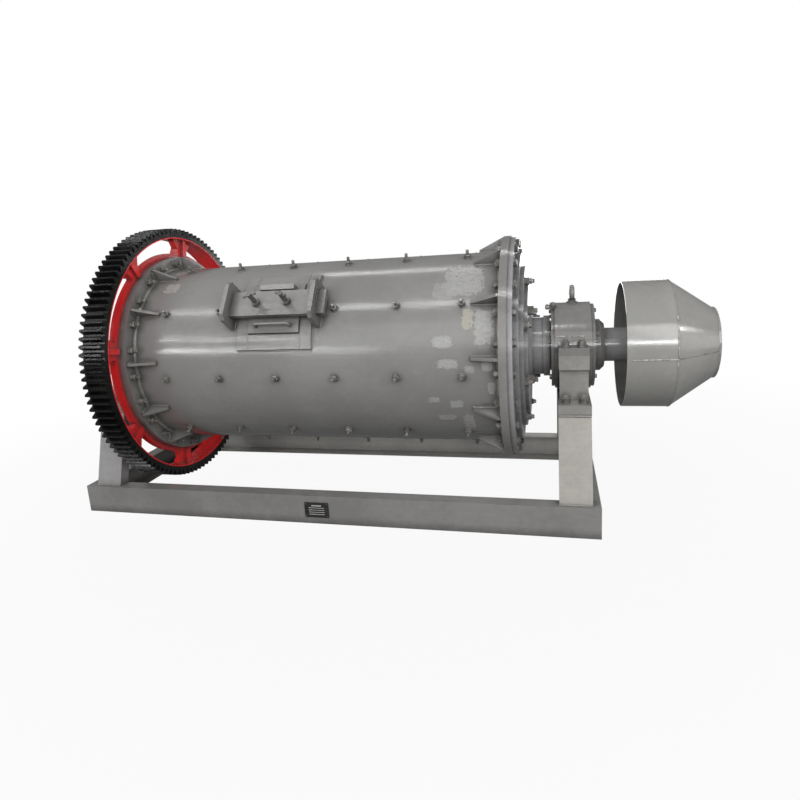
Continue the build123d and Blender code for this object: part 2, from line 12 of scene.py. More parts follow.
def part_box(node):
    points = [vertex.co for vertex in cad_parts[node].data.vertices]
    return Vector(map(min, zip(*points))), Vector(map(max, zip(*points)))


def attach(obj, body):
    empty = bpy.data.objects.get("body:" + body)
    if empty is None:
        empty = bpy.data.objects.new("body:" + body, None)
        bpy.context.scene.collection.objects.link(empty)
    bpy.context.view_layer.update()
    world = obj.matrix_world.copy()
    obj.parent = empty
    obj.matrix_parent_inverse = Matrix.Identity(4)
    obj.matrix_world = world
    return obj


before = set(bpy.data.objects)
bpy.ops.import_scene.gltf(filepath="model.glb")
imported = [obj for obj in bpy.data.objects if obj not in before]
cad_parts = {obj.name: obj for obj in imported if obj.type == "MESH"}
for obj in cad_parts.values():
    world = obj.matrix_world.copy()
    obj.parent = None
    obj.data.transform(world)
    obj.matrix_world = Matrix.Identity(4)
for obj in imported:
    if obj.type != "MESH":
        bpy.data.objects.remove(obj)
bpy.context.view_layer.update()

Colour = tuple[float, float, float]
Span = tuple[float, float]
Grain = tuple[float, ...]
Rule = Callable[[Sequence[Vector]], bool]
Triple = tuple[float, float, float]
Piece = bpy.types.Object
Socket = bpy.types.NodeSocket
Tree = bpy.types.NodeTree

log = logging.getLogger("ball_mill")

# Angles in degrees
FULL_TURN = 360
HALF_TURN = 180
QUARTER_TURN = 90

# The signs of two sides, ends or cheeks
BOTH = (-1, 1)

# Lengths in metres: what counts as one height, the seat of a bolt, and a bead's middle from its face
TOUCH = 1e-5
SUNK = 0.0005
BEAD_STEP = 0.001

# The middle value of a noise
NOISE_MIDDLE = 0.5

WHITE: Colour = (1.0, 1.0, 1.0)


def evenly(first: float, count: int) -> list[float]:
    """Angles spaced evenly round a full turn, in degrees."""
    return [first + index * FULL_TURN / count for index in range(count)]


class Body(Enum):
    """The two bodies that a piece can ride on."""

    FRAME = "frame"
    DRUM = "drum"


class Slot(Enum):
    """The record's material slots, named for the new pieces but not given to them."""

    MILL = "mill_grey"
    FEEDER = "feeder_grey"
    PLATE = "plate_black"
    SCREW = "screw_steel"


class Coat(Enum):
    """The finishes, by the names of their materials."""

    MILL = "mill_paint"
    SHELL = "shell_paint"
    BASE = "bearing_base_paint"
    FEED_LEG = "feed_leg_paint"
    DISCHARGE_LEG = "discharge_leg_paint"
    # Lighter than the mill paint: painted light on the beam that the mill shades
    BACK_BEAM = "back_beam_paint_with_painted_light"
    FEEDER = "feeder_paint"
    CONE = "feeder_cone_paint"
    # Bluish trunnion paint made lighter than the mill's: painted light on the neck, head and pipe that the
    # flange shades
    LIT_NECK = "trunnion_paint_with_painted_light"
    # Darker than the mill paint: painted shade on the brightly lit yoke and brackets
    HATCH = "hatch_paint_with_painted_shade"
    BEAD = "bead_paint"
    # Pale seam colour; on the bearing caps' seams it is a painted highlight
    SEAM = "pale_seam_and_painted_highlight"
    FASTENING = "fastening_paint"
    SPIDER = "spider_paint"
    GEAR = "gear_iron"
    SCREW = "screw_steel"
    PLATE = "plate_black"
    RULING = "plate_ruling"


class Side(Enum):
    """The two ends of the mill, with the sign of their stations."""

    FEED = 1
    DISCHARGE = -1

    @property
    def word(self) -> str:
        """The end's name in the names of its pieces."""
        return self.name.lower()


@dataclass(frozen=True)
class Layout:
    """Main stations and radii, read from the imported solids, in metres."""

    axis: float
    middle: float
    shell_radius: float
    flange_inner: float
    flange_outer: float

    @classmethod
    def read(cls) -> "Layout":
        """Reads the layout from the boxes of the shell and its feed flange."""
        shell_low, shell_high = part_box("shell")
        flange_low, flange_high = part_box("feed_flange")
        middle = (shell_low.x + shell_high.x) / 2
        return cls(
            axis=(shell_low.z + shell_high.z) / 2,
            middle=middle,
            shell_radius=(shell_high.z - shell_low.z) / 2,
            flange_inner=flange_low.x - middle,
            flange_outer=flange_high.x - middle,
        )

    def radial(self, station: float, radius: float, angle: float) -> Matrix:
        """Turns a piece's +Z outward and sets it on the mill.

        Args:
            station: Distance along the mill from the shell's middle.
            radius: Distance from the mill's axis.
            angle: Degrees above the horizontal on the hatch side.

        Returns:
            The placing matrix.
        """
        turn = Matrix.Rotation(math.radians(QUARTER_TURN - angle), 4, "X")
        place = Matrix.Translation((self.middle + station, 0, self.axis))
        return place @ turn @ Matrix.Translation((0, 0, radius))

    def axial(self, station: float, radius: float, angle: float, towards: int) -> Matrix:
        """Turns a piece's +Z along the mill, towards +X or -X.

        Args:
            station: Distance along the mill from the shell's middle.
            radius: Distance from the mill's axis.
            angle: Degrees above the horizontal on the hatch side.
            towards: 1 for +X or -1 for -X.

        Returns:
            The placing matrix.
        """
        lay = Matrix.Rotation(math.radians(QUARTER_TURN * towards), 4, "Y")
        return self.radial(station, radius, angle) @ lay


class Bench:
    """Modelling steps with the operators, each with its own selection."""

    @staticmethod
    def clear() -> None:
        """Leaves edit mode and deselects everything."""
        if bpy.context.object and bpy.context.object.mode != "OBJECT":
            bpy.ops.object.mode_set(mode="OBJECT")
        bpy.ops.object.select_all(action="DESELECT")

    @staticmethod
    def take(*pieces: Piece) -> None:
        """Selects the pieces alone and makes the first one active."""
        Bench.clear()
        for piece in pieces:
            piece.select_set(True)
        bpy.context.view_layer.objects.active = pieces[0]

    @staticmethod
    def settle(piece: Piece) -> Piece:
        """Applies the piece's place, turn and size to its mesh."""
        Bench.take(piece)
        bpy.ops.object.transform_apply(location=True, rotation=True, scale=True)
        return piece

    @staticmethod
    def prism(sides: int, radius: float, low: float, high: float) -> Piece:
        """An upright prism between two heights.

        Args:
            sides: Number of side faces.
            radius: Radius through the corners.
            low: Height of the lower face.
            high: Height of the upper face.

        Returns:
            The new piece.
        """
        Bench.clear()
        bpy.ops.mesh.primitive_cylinder_add(
            vertices=sides, radius=radius, depth=high - low, location=(0, 0, (low + high) / 2)
        )
        return Bench.settle(bpy.context.object)

    @staticmethod
    def pick_edges(piece: Piece, rule: Rule) -> None:
        """Enters edit mode with the edges that a rule names selected.

        Args:
            piece: The piece to edit.
            rule: Takes an edge's two ends and says whether the edge is wanted.
        """
        Bench.take(piece)
        mesh = piece.data
        bpy.ops.object.mode_set(mode="EDIT")
        bpy.ops.mesh.select_mode(type="EDGE")
        bpy.ops.mesh.select_all(action="DESELECT")
        bpy.ops.object.mode_set(mode="OBJECT")
        for edge in mesh.edges:
            edge.select = rule([mesh.vertices[index].co for index in edge.vertices])
        bpy.ops.object.mode_set(mode="EDIT")

    @staticmethod
    def bevel_at(piece: Piece, height: float, width: float, segments: int = 1) -> None:
        """Bevels the edges that lie at one height.

        Args:
            piece: The piece to edit.
            height: The height of the edges.
            width: The bevel's width.
            segments: Number of faces across the bevel.
        """
        Bench.pick_edges(piece, lambda ends: all(abs(end.z - height) < TOUCH for end in ends))
        bpy.ops.mesh.bevel(offset=width, segments=segments, affect="EDGES")
        bpy.ops.object.mode_set(mode="OBJECT")

    @staticmethod
    def apply(piece: Piece, kind: str, **settings: Any) -> None:
        """Adds a modifier with its settings and applies it."""
        Bench.take(piece)
        bpy.ops.object.modifier_add(type=kind)
        modifier = piece.modifiers[-1]
        for name, value in settings.items():
            setattr(modifier, name, value)
        bpy.ops.object.modifier_apply(modifier=modifier.name)

    @staticmethod
    def smooth(piece: Piece, degrees: float = 35) -> None:
        """Shades a piece smooth over its gentle edges."""
        Bench.take(piece)
        bpy.ops.object.shade_smooth_by_angle(angle=math.radians(degrees))

    @staticmethod
    def face_outwards(piece: Piece) -> None:
        """Turns a mirrored piece's normals outward again."""
        Bench.take(piece)
        bpy.ops.object.mode_set(mode="EDIT")
        bpy.ops.mesh.select_all(action="SELECT")
        bpy.ops.mesh.normals_make_consistent(inside=False)
        bpy.ops.object.mode_set(mode="OBJECT")

    @staticmethod
    def join(name: str, pieces: Sequence[Piece]) -> Piece:
        """Joins pieces into the first one and names it."""
        Bench.take(*pieces)
        if len(pieces) > 1:
            bpy.ops.object.join()
        joined = bpy.context.object
        joined.name = name
        joined.data.name = name
        return joined

    @staticmethod
    def spread(name: str, master: Piece, places: Iterable[Matrix]) -> Piece:
        """Copies a master to each place, each with its own mesh, and joins the copies.

        Args:
            name: The joined piece's name.
            master: The piece to copy, modelled about the origin. It is removed.
            places: One matrix for each copy.

        Returns:
            The joined piece.
        """
        pieces = []
        for place in places:
            copy = master.copy()
            copy.data = master.data.copy()
            copy.data.transform(place)
            bpy.context.collection.objects.link(copy)
            pieces.append(copy)
        bpy.data.objects.remove(master)
        return Bench.join(name, pieces)


@dataclass(frozen=True)
class Plug:
    """An upright prism about the origin whose top edge is bevelled."""

    sides: int
    radius: float
    low: float
    high: float
    bevel: float
    segments: int = 1

    def model(self) -> Piece:
        """Models the plug."""
        plug = Bench.prism(self.sides, self.radius, self.low, self.high)
        Bench.bevel_at(plug, self.high, self.bevel, self.segments)
        return plug


@dataclass(frozen=True)
class Fastener:
    """A hexagon with its washer and, on a nut, the end of its bolt."""

    flats: float
    height: float
    washer_radius: float = 0.0
    washer_height: float = 0.0
    end_radius: float = 0.0
    end_length: float = 0.0
    hexagon_sides: ClassVar[int] = 6
    hexagon_bevel: ClassVar[float] = 0.09
    washer_sides: ClassVar[int] = 16
    washer_bevel: ClassVar[float] = 0.3
    end_sides: ClassVar[int] = 10
    end_bevel: ClassVar[float] = 0.25
    end_root: ClassVar[float] = 0.002
    smooth_below: ClassVar[float] = 30.0

    def model(self) -> Piece:
        """Models the fastener upright on the origin."""
        foot = self.washer_height
        top = foot + self.height
        corners = self.flats / math.sqrt(3)
        plugs = [Plug(self.hexagon_sides, corners, foot, top, self.flats * self.hexagon_bevel)]
        if self.washer_height:
            plugs.append(Plug(self.washer_sides, self.washer_radius, 0.0, foot, foot * self.washer_bevel))
        if self.end_length:
            root = top - self.end_root
            tip = top + self.end_length
            plugs.append(Plug(self.end_sides, self.end_radius, root, tip, self.end_radius * self.end_bevel))
        fastener = Bench.join("fastener", [plug.model() for plug in plugs])
        Bench.smooth(fastener, self.smooth_below)
        return fastener


@dataclass(frozen=True)
class Weld:
    """A hand-laid fillet bead with a rippled back."""

    radius: float
    ripple: float = 0.35
    pitch: float = 0.009
    sides: ClassVar[int] = 8
    fewest_cuts: ClassVar[int] = 2
    fewest_steps: ClassVar[int] = 4
    merge_share: ClassVar[float] = 0.02
    smooth_below: ClassVar[float] = 60.0

    def _roughen(self, bead: Piece) -> Piece:
        """Ripples a bead's surface with a cloud texture and smooths it."""
        clouds = bpy.data.textures.get("weld_clouds") or bpy.data.textures.new("weld_clouds", "CLOUDS")
        clouds.noise_scale = self.pitch
        depth = self.radius * self.ripple
        Bench.apply(bead, "DISPLACE", texture=clouds, strength=depth, texture_coords="LOCAL")
        Bench.smooth(bead, self.smooth_below)
        return bead

    def line(self, start: Vector, end: Vector) -> Piece:
        """A straight bead between two points."""
        way = end - start
        length = way.length
        bead = Bench.prism(self.sides, self.radius, 0.0, length)
        Bench.pick_edges(bead, lambda ends: abs(abs(ends[0].z - ends[1].z) - length) < TOUCH)
        bpy.ops.mesh.subdivide(number_cuts=max(self.fewest_cuts, int(length / self.pitch)))
        bpy.ops.object.mode_set(mode="OBJECT")
        turn = Vector((0, 0, 1)).rotation_difference(way.normalized()).to_matrix().to_4x4()
        bead.data.transform(Matrix.Translation(start) @ turn)
        return self._roughen(bead)

    def arc(
        self, layout: Layout, station: float, radius: float, first: float = 0.0, sweep: float = FULL_TURN
    ) -> Piece:
        """A bead round the mill.

        Args:
            layout: The mill's layout.
            station: The bead's station.
            radius: The bead's distance from the axis.
            first: The angle at which it starts, in degrees.
            sweep: How far it goes, in degrees; a full turn closes it.

        Returns:
            The bead.
        """
        Bench.clear()
        bpy.ops.mesh.primitive_circle_add(vertices=self.sides, radius=self.radius, fill_type="NGON")
        bead = bpy.context.object
        bead.data.transform(layout.radial(station, radius, first) @ Matrix.Rotation(math.pi / 2, 4, "X"))
        Bench.take(bead)
        bpy.ops.object.mode_set(mode="EDIT")
        bpy.ops.mesh.select_all(action="SELECT")
        if sweep >= FULL_TURN:
            bpy.ops.mesh.delete(type="ONLY_FACE")
            bpy.ops.mesh.select_all(action="SELECT")
        bpy.ops.mesh.spin(
            steps=max(self.fewest_steps, int(math.radians(sweep) * radius / self.pitch)),
            angle=math.radians(sweep),
            center=(layout.middle + station, 0, layout.axis),
            axis=(1, 0, 0),
        )
        bpy.ops.mesh.select_all(action="SELECT")
        bpy.ops.mesh.remove_doubles(threshold=self.radius * self.merge_share)
        bpy.ops.mesh.normals_make_consistent(inside=False)
        bpy.ops.object.mode_set(mode="OBJECT")
        return self._roughen(bead)


class Nodes:
    """A node tree with short calls for adding and wiring nodes."""

    def __init__(self, tree: Tree) -> None:
        """Takes the tree to build in."""
        self.tree = tree

    def wire(self, value: Any, target: Socket) -> None:
        """Wires an output into an input, or sets the input to a value."""
        if isinstance(value, Socket):
            self.tree.links.new(value, target)
        elif target.type == "RGBA":
            target.default_value = (*value, 1.0)
        else:
            target.default_value = value

    def add(self, kind: str, values: dict[Any, Any] | None = None, **settings: Any) -> bpy.types.Node:
        """Adds a node.

        Args:
            kind: The node's type without its ShaderNode prefix.
            values: Inputs by name or number: a value, or an output to wire in.
            **settings: The node's own properties.

        Returns:
            The node.
        """
        node = self.tree.nodes.new(f"ShaderNode{kind}")
        for name, value in settings.items():
            setattr(node, name, value)
        for key, value in (values or {}).items():
            self.wire(value, node.inputs[key])
        return node

    def math(self, operation: str, *values: Any, clamp: bool = False) -> Socket:
        """A Math node's result."""
        inputs = dict(enumerate(values))
        return self.add("Math", inputs, operation=operation, use_clamp=clamp).outputs[0]

    def mix(self, share: Any, low: Any, high: Any) -> Socket:
        """A colour between two others."""
        return self.add("Mix", {0: share, 6: low, 7: high}, data_type="RGBA").outputs[2]

    def noise(self, vector: Any, scale: Any, detail: float = 3.0, roughness: float = 0.55) -> Socket:
        """A noise value over the surface."""
        inputs = {"Vector": vector, "Scale": scale, "Detail": detail, "Roughness": roughness}
        return self.add("TexNoise", inputs).outputs[0]

    def centred(self, noise: Any) -> Socket:
        """A noise value moved so that its middle is 0."""
        return self.math("SUBTRACT", noise, NOISE_MIDDLE)

    def step(self, value: Any, low: float, high: float) -> Socket:
        """A smooth step of a value from 0 at low to 1 at high."""
        inputs = {"Value": value, "From Min": low, "From Max": high}
        return self.add("MapRange", inputs, interpolation_type="SMOOTHSTEP").outputs[0]

    def stretch(self, vector: Any, scale: Triple) -> Socket:
        """Coordinates scaled along each axis."""
        return self.add("Mapping", {"Vector": vector, "Scale": scale}).outputs[0]

    def split(self, vector: Any) -> bpy.types.bpy_prop_collection:
        """The three parts of a vector."""
        return self.add("SeparateXYZ", {0: vector}).outputs

    def group(self, tree: Tree, values: dict[str, Any]) -> bpy.types.bpy_prop_collection:
        """Adds a group with its inputs set and gives its outputs."""
        return self.add("Group", values, node_tree=tree).outputs


class Group(Nodes):
    """A shader group under way, with named inputs and outputs."""

    sockets: ClassVar[dict[type, str]] = {
        type(None): "NodeSocketVector",
        float: "NodeSocketFloat",
        tuple: "NodeSocketColor",
    }

    def __init__(self, name: str, inputs: dict[str, Any], **outputs: type) -> None:
        """Starts the group.

        Args:
            name: The group's name.
            inputs: The default of each input: a number, a colour or, for a vector, None.
            **outputs: The type of each output, float or tuple; without any it is one mask.
        """
        super().__init__(bpy.data.node_groups.new(name, "ShaderNodeTree"))
        ports = self.tree.interface
        for label, default in inputs.items():
            socket = ports.new_socket(label, in_out="INPUT", socket_type=self.sockets[type(default)])
            if default is not None:
                socket.default_value = (*default, 1.0) if isinstance(default, tuple) else default
        for label, kind in (outputs or {"Mask": float}).items():
            ports.new_socket(label, in_out="OUTPUT", socket_type=self.sockets[kind])
        self.given = self.tree.nodes.new("NodeGroupInput").outputs
        self.leave = self.tree.nodes.new("NodeGroupOutput")

    def close(self, **results: Socket) -> Tree:
        """Wires the results to the outputs and gives the finished tree."""
        for label, socket in results.items():
            self.wire(socket, self.leave.inputs[label])
        return self.tree

    def close_mask(self, whole: Any, broken: Any) -> Tree:
        """Closes a group whose mask is broken up by a noise and scaled by its amount."""
        mask = self.math("MULTIPLY", self.math("MULTIPLY", whole, broken), self.given["Amount"], clamp=True)
        return self.close(Mask=mask)


class Effects:
    """The shader groups that several finishes share, each built once."""

    cloud_detail: ClassVar[float] = 4.0
    mottle_ratio: ClassVar[float] = 13.0
    mottle_grain: ClassVar[Grain] = (5.0, 0.65)
    tone_step: ClassVar[Span] = (0.36, 0.66)
    brush_stretch: ClassVar[Triple] = (5.0, 110.0, 110.0)
    brush_grain: ClassVar[Grain] = (1.0, 3.0)
    wave_grain: ClassVar[Grain] = (6.0, 4.0, 0.45)
    peel_grain: ClassVar[Grain] = (150.0, 2.0)
    streak_step: ClassVar[Span] = (0.3, 0.7)
    edge_samples: ClassVar[int] = 2
    edge_step: ClassVar[Span] = (0.01, 0.16)
    chip_grain: ClassVar[Grain] = (34.0, 5.0, 0.7)
    chip_step: ClassVar[Span] = (0.42, 0.62)
    dust_rise: ClassVar[Span] = (0.45, 1.0)
    dust_grain: ClassVar[Grain] = (9.0, 6.0, 0.7)
    dust_step: ClassVar[Span] = (0.35, 0.7)
    # Painted shade in corners: ambient occlusion samples, its noise and its step
    shade_samples: ClassVar[int] = 2
    shade_grain: ClassVar[Grain] = (45.0, 4.0, 0.65)
    shade_swing: ClassVar[float] = 0.5
    shade_step: ClassVar[Span] = (0.88, 0.40)
    smear_power: ClassVar[float] = 4.0
    smear_step: ClassVar[Span] = (1.20, 0.75)

    def __init__(self) -> None:
        """Builds every group."""
        self.tone = self._tone()
        self.film = self._film()
        self.wear = self._wear()
        self.dust = self._dust()
        self.crevice_shade = self._crevice_shade()
        self.smear = self._smear()

    def _tone(self) -> Tree:
        """Paint whose tone drifts in broad clouds and fine mottling."""
        group = Group(
            "paint_tone",
            {
                "Vector": None,
                "Light": (0.5, 0.5, 0.5),
                "Dark": (0.2, 0.2, 0.2),
                "Cloud Scale": 2.5,
                "Mottle": 0.4,
            },
            Color=tuple,
            Cloud=float,
        )
        given = group.given
        cloud = group.noise(given["Vector"], given["Cloud Scale"], self.cloud_detail)
        fine_scale = group.math("MULTIPLY", given["Cloud Scale"], self.mottle_ratio)
        fine = group.noise(given["Vector"], fine_scale, *self.mottle_grain)
        mottle = group.math("MULTIPLY", group.centred(fine), given["Mottle"])
        blend = group.step(group.math("ADD", cloud, mottle), *self.tone_step)
        return group.close(Color=group.mix(blend, given["Dark"], given["Light"]), Cloud=blend)

    def _film(self) -> Tree:
        """Relief of a brushed paint film: long brush marks, waves and orange peel."""
        inputs = {"Vector": None, "Brush": 0.5, "Wave": 0.5, "Peel": 0.2}
        group = Group("paint_film", inputs, Height=float, Streak=float)
        given = group.given
        brush = group.noise(group.stretch(given["Vector"], self.brush_stretch), *self.brush_grain)
        wave = group.noise(given["Vector"], *self.wave_grain)
        peel = group.noise(given["Vector"], *self.peel_grain)
        height = group.math("MULTIPLY", brush, given["Brush"])
        height = group.math("MULTIPLY_ADD", wave, given["Wave"], height)
        height = group.math("MULTIPLY_ADD", peel, given["Peel"], height)
        return group.close(Height=height, Streak=group.step(brush, *self.streak_step))

    def _wear(self) -> Tree:
        """Mask of the worn paint along a piece's edges."""
        group = Group("edge_wear", {"Vector": None, "Radius": 0.004, "Amount": 0.5})
        given = group.given
        rounded = group.add("Bevel", {"Radius": given["Radius"]}, samples=self.edge_samples).outputs[0]
        flat = group.add("NewGeometry").outputs["Normal"]
        match = group.add("VectorMath", {0: rounded, 1: flat}, operation="DOT_PRODUCT").outputs["Value"]
        edge = group.step(group.math("SUBTRACT", 1.0, match), *self.edge_step)
        broken = group.step(group.noise(given["Vector"], *self.chip_grain), *self.chip_step)
        return group.close_mask(edge, broken)

    def _dust(self) -> Tree:
        """Mask of the dust on faces that look up."""
        group = Group("settled_dust", {"Coordinate": None, "Normal": None, "Amount": 0.3})
        given = group.given
        lies = group.step(group.split(given["Normal"])[2], *self.dust_rise)
        broken = group.step(group.noise(given["Coordinate"], *self.dust_grain), *self.dust_step)
        return group.close_mask(lies, broken)

    def _crevice_shade(self) -> Tree:
        """Mask of painted shade in corners and round fastenings: ambient occlusion broken up by a noise."""
        group = Group("crevice_painted_shade", {"Vector": None, "Distance": 0.04, "Amount": 0.7})
        given = group.given
        reach = {"Distance": given["Distance"]}
        open_share = group.add("AmbientOcclusion", reach, samples=self.shade_samples).outputs["AO"]
        cloud = group.centred(group.noise(given["Vector"], *self.shade_grain))
        depth = group.math("MULTIPLY_ADD", cloud, self.shade_swing, open_share)
        return group.close(Mask=group.math("MULTIPLY", group.step(depth, *self.shade_step), given["Amount"]))

    def _smear(self) -> Tree:
        """Mask of one ragged patch, given in station and angle round the mill."""
        group = Group(
            "smear",
            {
                "Station": 0.0,
                "Angle": 0.0,
                "Ragged": 0.0,
                "Middle Station": 0.0,
                "Middle Angle": 0.0,
                "Half Station": 0.05,
                "Half Angle": 0.05,
                "Strength": 1.0,
            },
        )
        given = group.given
        shares = []
        for way in ("Station", "Angle"):
            off = group.math("SUBTRACT", given[way], given[f"Middle {way}"])
            share = group.math("ABSOLUTE", group.math("DIVIDE", off, given[f"Half {way}"]))
            shares.append(group.math("POWER", share, self.smear_power))
        reach = group.math("ADD", group.math("ADD", *shares), given["Ragged"])
        mask = group.step(reach, *self.smear_step)
        return group.close(Mask=group.math("MULTIPLY", mask, given["Strength"]))


class Ground(Nodes):
    """A material under way, with the colour, roughness and height it has so far."""

    def __init__(self, finish: "Finish", effects: Effects) -> None:
        """Starts the material with the finish's tone and paint film.

        Args:
            finish: The finish to build.
            effects: The shared shader groups.
        """
        self.material = bpy.data.materials.new(finish.coat_name.value)
        self.material.use_nodes = True
        super().__init__(self.material.node_tree)
        self.shader = self.tree.nodes["Principled BSDF"]
        coordinates = self.add("TexCoord").outputs
        self.place = coordinates["Object"]
        self.normal = coordinates["Normal"]
        colours = {"Light": finish.light, "Dark": finish.dark, "Cloud Scale": finish.cloud_scale}
        tone = self.group(effects.tone, {"Vector": self.place, **colours})
        marks = {"Brush": finish.brush, "Wave": finish.wave, "Peel": finish.peel}
        film = self.group(effects.film, {"Vector": self.place, **marks})
        self.colour = tone["Color"]
        self.rough = self.math("MULTIPLY_ADD", tone["Cloud"], finish.cloud_roughness, finish.roughness)
        self.height = film["Height"]
        self.streak = film["Streak"]

    def mask(self, tree: Tree, values: dict[str, Any]) -> Socket:
        """Adds a group and gives its mask."""
        return self.group(tree, values)["Mask"]

    def cover(self, mask: Any, colour: Any) -> None:
        """Lays a colour over the surface as a mask says."""
        self.colour = self.mix(mask, self.colour, colour)

    def close(self, relief: float, settings: dict[str, float]) -> bpy.types.Material:
        """Wires the colour, the roughness and the height into the shader.

        Args:
            relief: The depth of the height's full range, in metres.
            settings: Other inputs of the shader by name.

        Returns:
            The finished material.
        """
        bump = self.add("Bump", {"Height": self.height, "Distance": relief, "Strength": 1.0}).outputs[0]
        wires = {"Base Color": self.colour, "Roughness": self.rough, "Normal": bump}
        for name, value in {**wires, **settings}.items():
            self.wire(value, self.shader.inputs[name])
        return self.material


@dataclass(frozen=True)
class Finish:
    """Base of the finishes: their two tones and the relief of their film."""

    coat_name: Coat
    light: Colour
    dark: Colour
    roughness: float = 0.12
    cloud_roughness: float = 0.07
    cloud_scale: float = 2.5
    brush: float = 0.20
    wave: float = 0.45
    peel: float = 0.20
    relief: float = 0.0014

    def build(self, effects: Effects, layout: Layout) -> bpy.types.Material:
        """Builds the material.

        Args:
            effects: The shared shader groups.
            layout: The mill's layout, for what keeps its place on the mill.

        Returns:
            The material.
        """
        ground = Ground(self, effects)
        self.layer(ground, effects, layout)
        return ground.close(self.relief, self.settings())

    def layer(self, ground: Ground, effects: Effects, layout: Layout) -> None:
        """Lays what the finish has over its tone; a plain one has nothing.

        Args:
            ground: The material under way.
            effects: The shared shader groups.
            layout: The mill's layout.
        """

    def settings(self) -> dict[str, float]:
        """The shader's constant inputs by name."""
        return {}


@dataclass(frozen=True)
class Smear:
    """One ragged patch of putty or primer on the shell, in metres and degrees."""

    station: float
    angle: float
    half_length: float
    half_angle: float
    strength: float
    warm: bool = False


@dataclass(frozen=True)
class Putty:
    """Patches of pale putty or primer with ragged edges."""

    smears: tuple[Smear, ...]
    dark: Colour = (0.270, 0.268, 0.262)
    light: Colour = (0.425, 0.422, 0.411)
    warm: Colour = (0.400, 0.370, 0.265)
    tone_step: Span = (0.35, 0.7)
    stretch: Triple = (1.3, 1.9, 1.9)
    grain: Grain = (32.0, 6.0, 0.72)
    grain_middle: float = 0.47
    bite: float = 6.5
    thickness: float = 0.3
    matt: float = 0.2

    def lay(self, ground: Ground, effects: Effects, layout: Layout) -> Socket:
        """Lays the patches' colour and thickness.

        Args:
            ground: The material under way.
            effects: The shared shader groups.
            layout: The mill's layout.

        Returns:
            The mask of all patches.
        """
        parts = ground.split(ground.place)
        station = ground.math("SUBTRACT", parts[0], layout.middle)
        height = ground.math("SUBTRACT", parts[2], layout.axis)
        angle = ground.math("ARCTAN2", height, ground.math("MULTIPLY", parts[1], -1.0))
        ragged = ground.noise(ground.stretch(ground.place, self.stretch), *self.grain)
        bite = ground.math("MULTIPLY", ground.math("SUBTRACT", ragged, self.grain_middle), self.bite)
        masks: dict[bool, Any] = {False: 0.0, True: 0.0}
        for smear in self.smears:
            values = {
                "Station": station,
                "Angle": angle,
                "Ragged": bite,
                "Middle Station": smear.station,
                "Middle Angle": math.radians(smear.angle),
                "Half Station": smear.half_length,
                "Half Angle": math.radians(smear.half_angle),
                "Strength": smear.strength,
            }
            one = ground.mask(effects.smear, values)
            masks[smear.warm] = ground.math("MAXIMUM", masks[smear.warm], one)
        mask = ground.math("MAXIMUM", masks[False], masks[True])
        tone = ground.mix(ground.step(ragged, *self.tone_step), self.dark, self.light)
        ground.cover(mask, ground.mix(masks[True], tone, self.warm))
        ground.height = ground.math("MULTIPLY_ADD", mask, self.thickness, ground.height)
        return mask


@dataclass(frozen=True, kw_only=True)
class Enamel(Finish):
    """Brushed gloss machine paint, with optional patches."""

    gloss: float = 0.0
    gloss_roughness: float = 0.12
    streak: float = 0.05
    streak_tone: float = 0.3
    wear: float = 0.3
    wear_radius: float = 0.004
    worn: Colour = (0.38, 0.37, 0.35)
    dusty: float = 0.08
    dust: Colour = (0.31, 0.29, 0.26)
    dust_matt: float = 0.35
    # Painted shade: a dark colour laid where ambient occlusion finds corners and fastenings
    crevice_shading: float = 0.8
    crevice_shade_colour: Colour = (0.040, 0.038, 0.036)
    shade_reach: float = 0.045
    putty: Putty | None = None

    def layer(self, ground: Ground, effects: Effects, layout: Layout) -> None:
        """Lays the streaks, the worn edges, the dust, the patches and the painted shade in corners.

        Args:
            ground: The material under way.
            effects: The shared shader groups.
            layout: The mill's layout, for the patches.
        """
        ground.cover(ground.math("MULTIPLY", ground.streak, self.streak_tone), self.dark)
        if self.wear:
            edges = {"Vector": ground.place, "Radius": self.wear_radius, "Amount": self.wear}
            ground.cover(ground.mask(effects.wear, edges), self.worn)
        settled = {"Coordinate": ground.place, "Normal": ground.normal, "Amount": self.dusty}
        dust = ground.mask(effects.dust, settled)
        ground.cover(dust, self.dust)
        matt = ground.math("MULTIPLY", dust, self.dust_matt)
        if self.putty:
            patches = self.putty.lay(ground, effects, layout)
            matt = ground.math("MULTIPLY_ADD", patches, self.putty.matt, matt)
        # Painted shade in corners and round fastenings, where ambient occlusion finds them
        corners = {"Vector": ground.place, "Distance": self.shade_reach, "Amount": self.crevice_shading}
        ground.cover(ground.mask(effects.crevice_shade, corners), self.crevice_shade_colour)
        streaked = ground.math("MULTIPLY_ADD", ground.streak, self.streak, ground.rough)
        ground.rough = ground.math("ADD", streaked, matt, clamp=True)

    def settings(self) -> dict[str, float]:
        """The clear gloss over the paint."""
        return {"Coat Weight": self.gloss, "Coat Roughness": self.gloss_roughness}


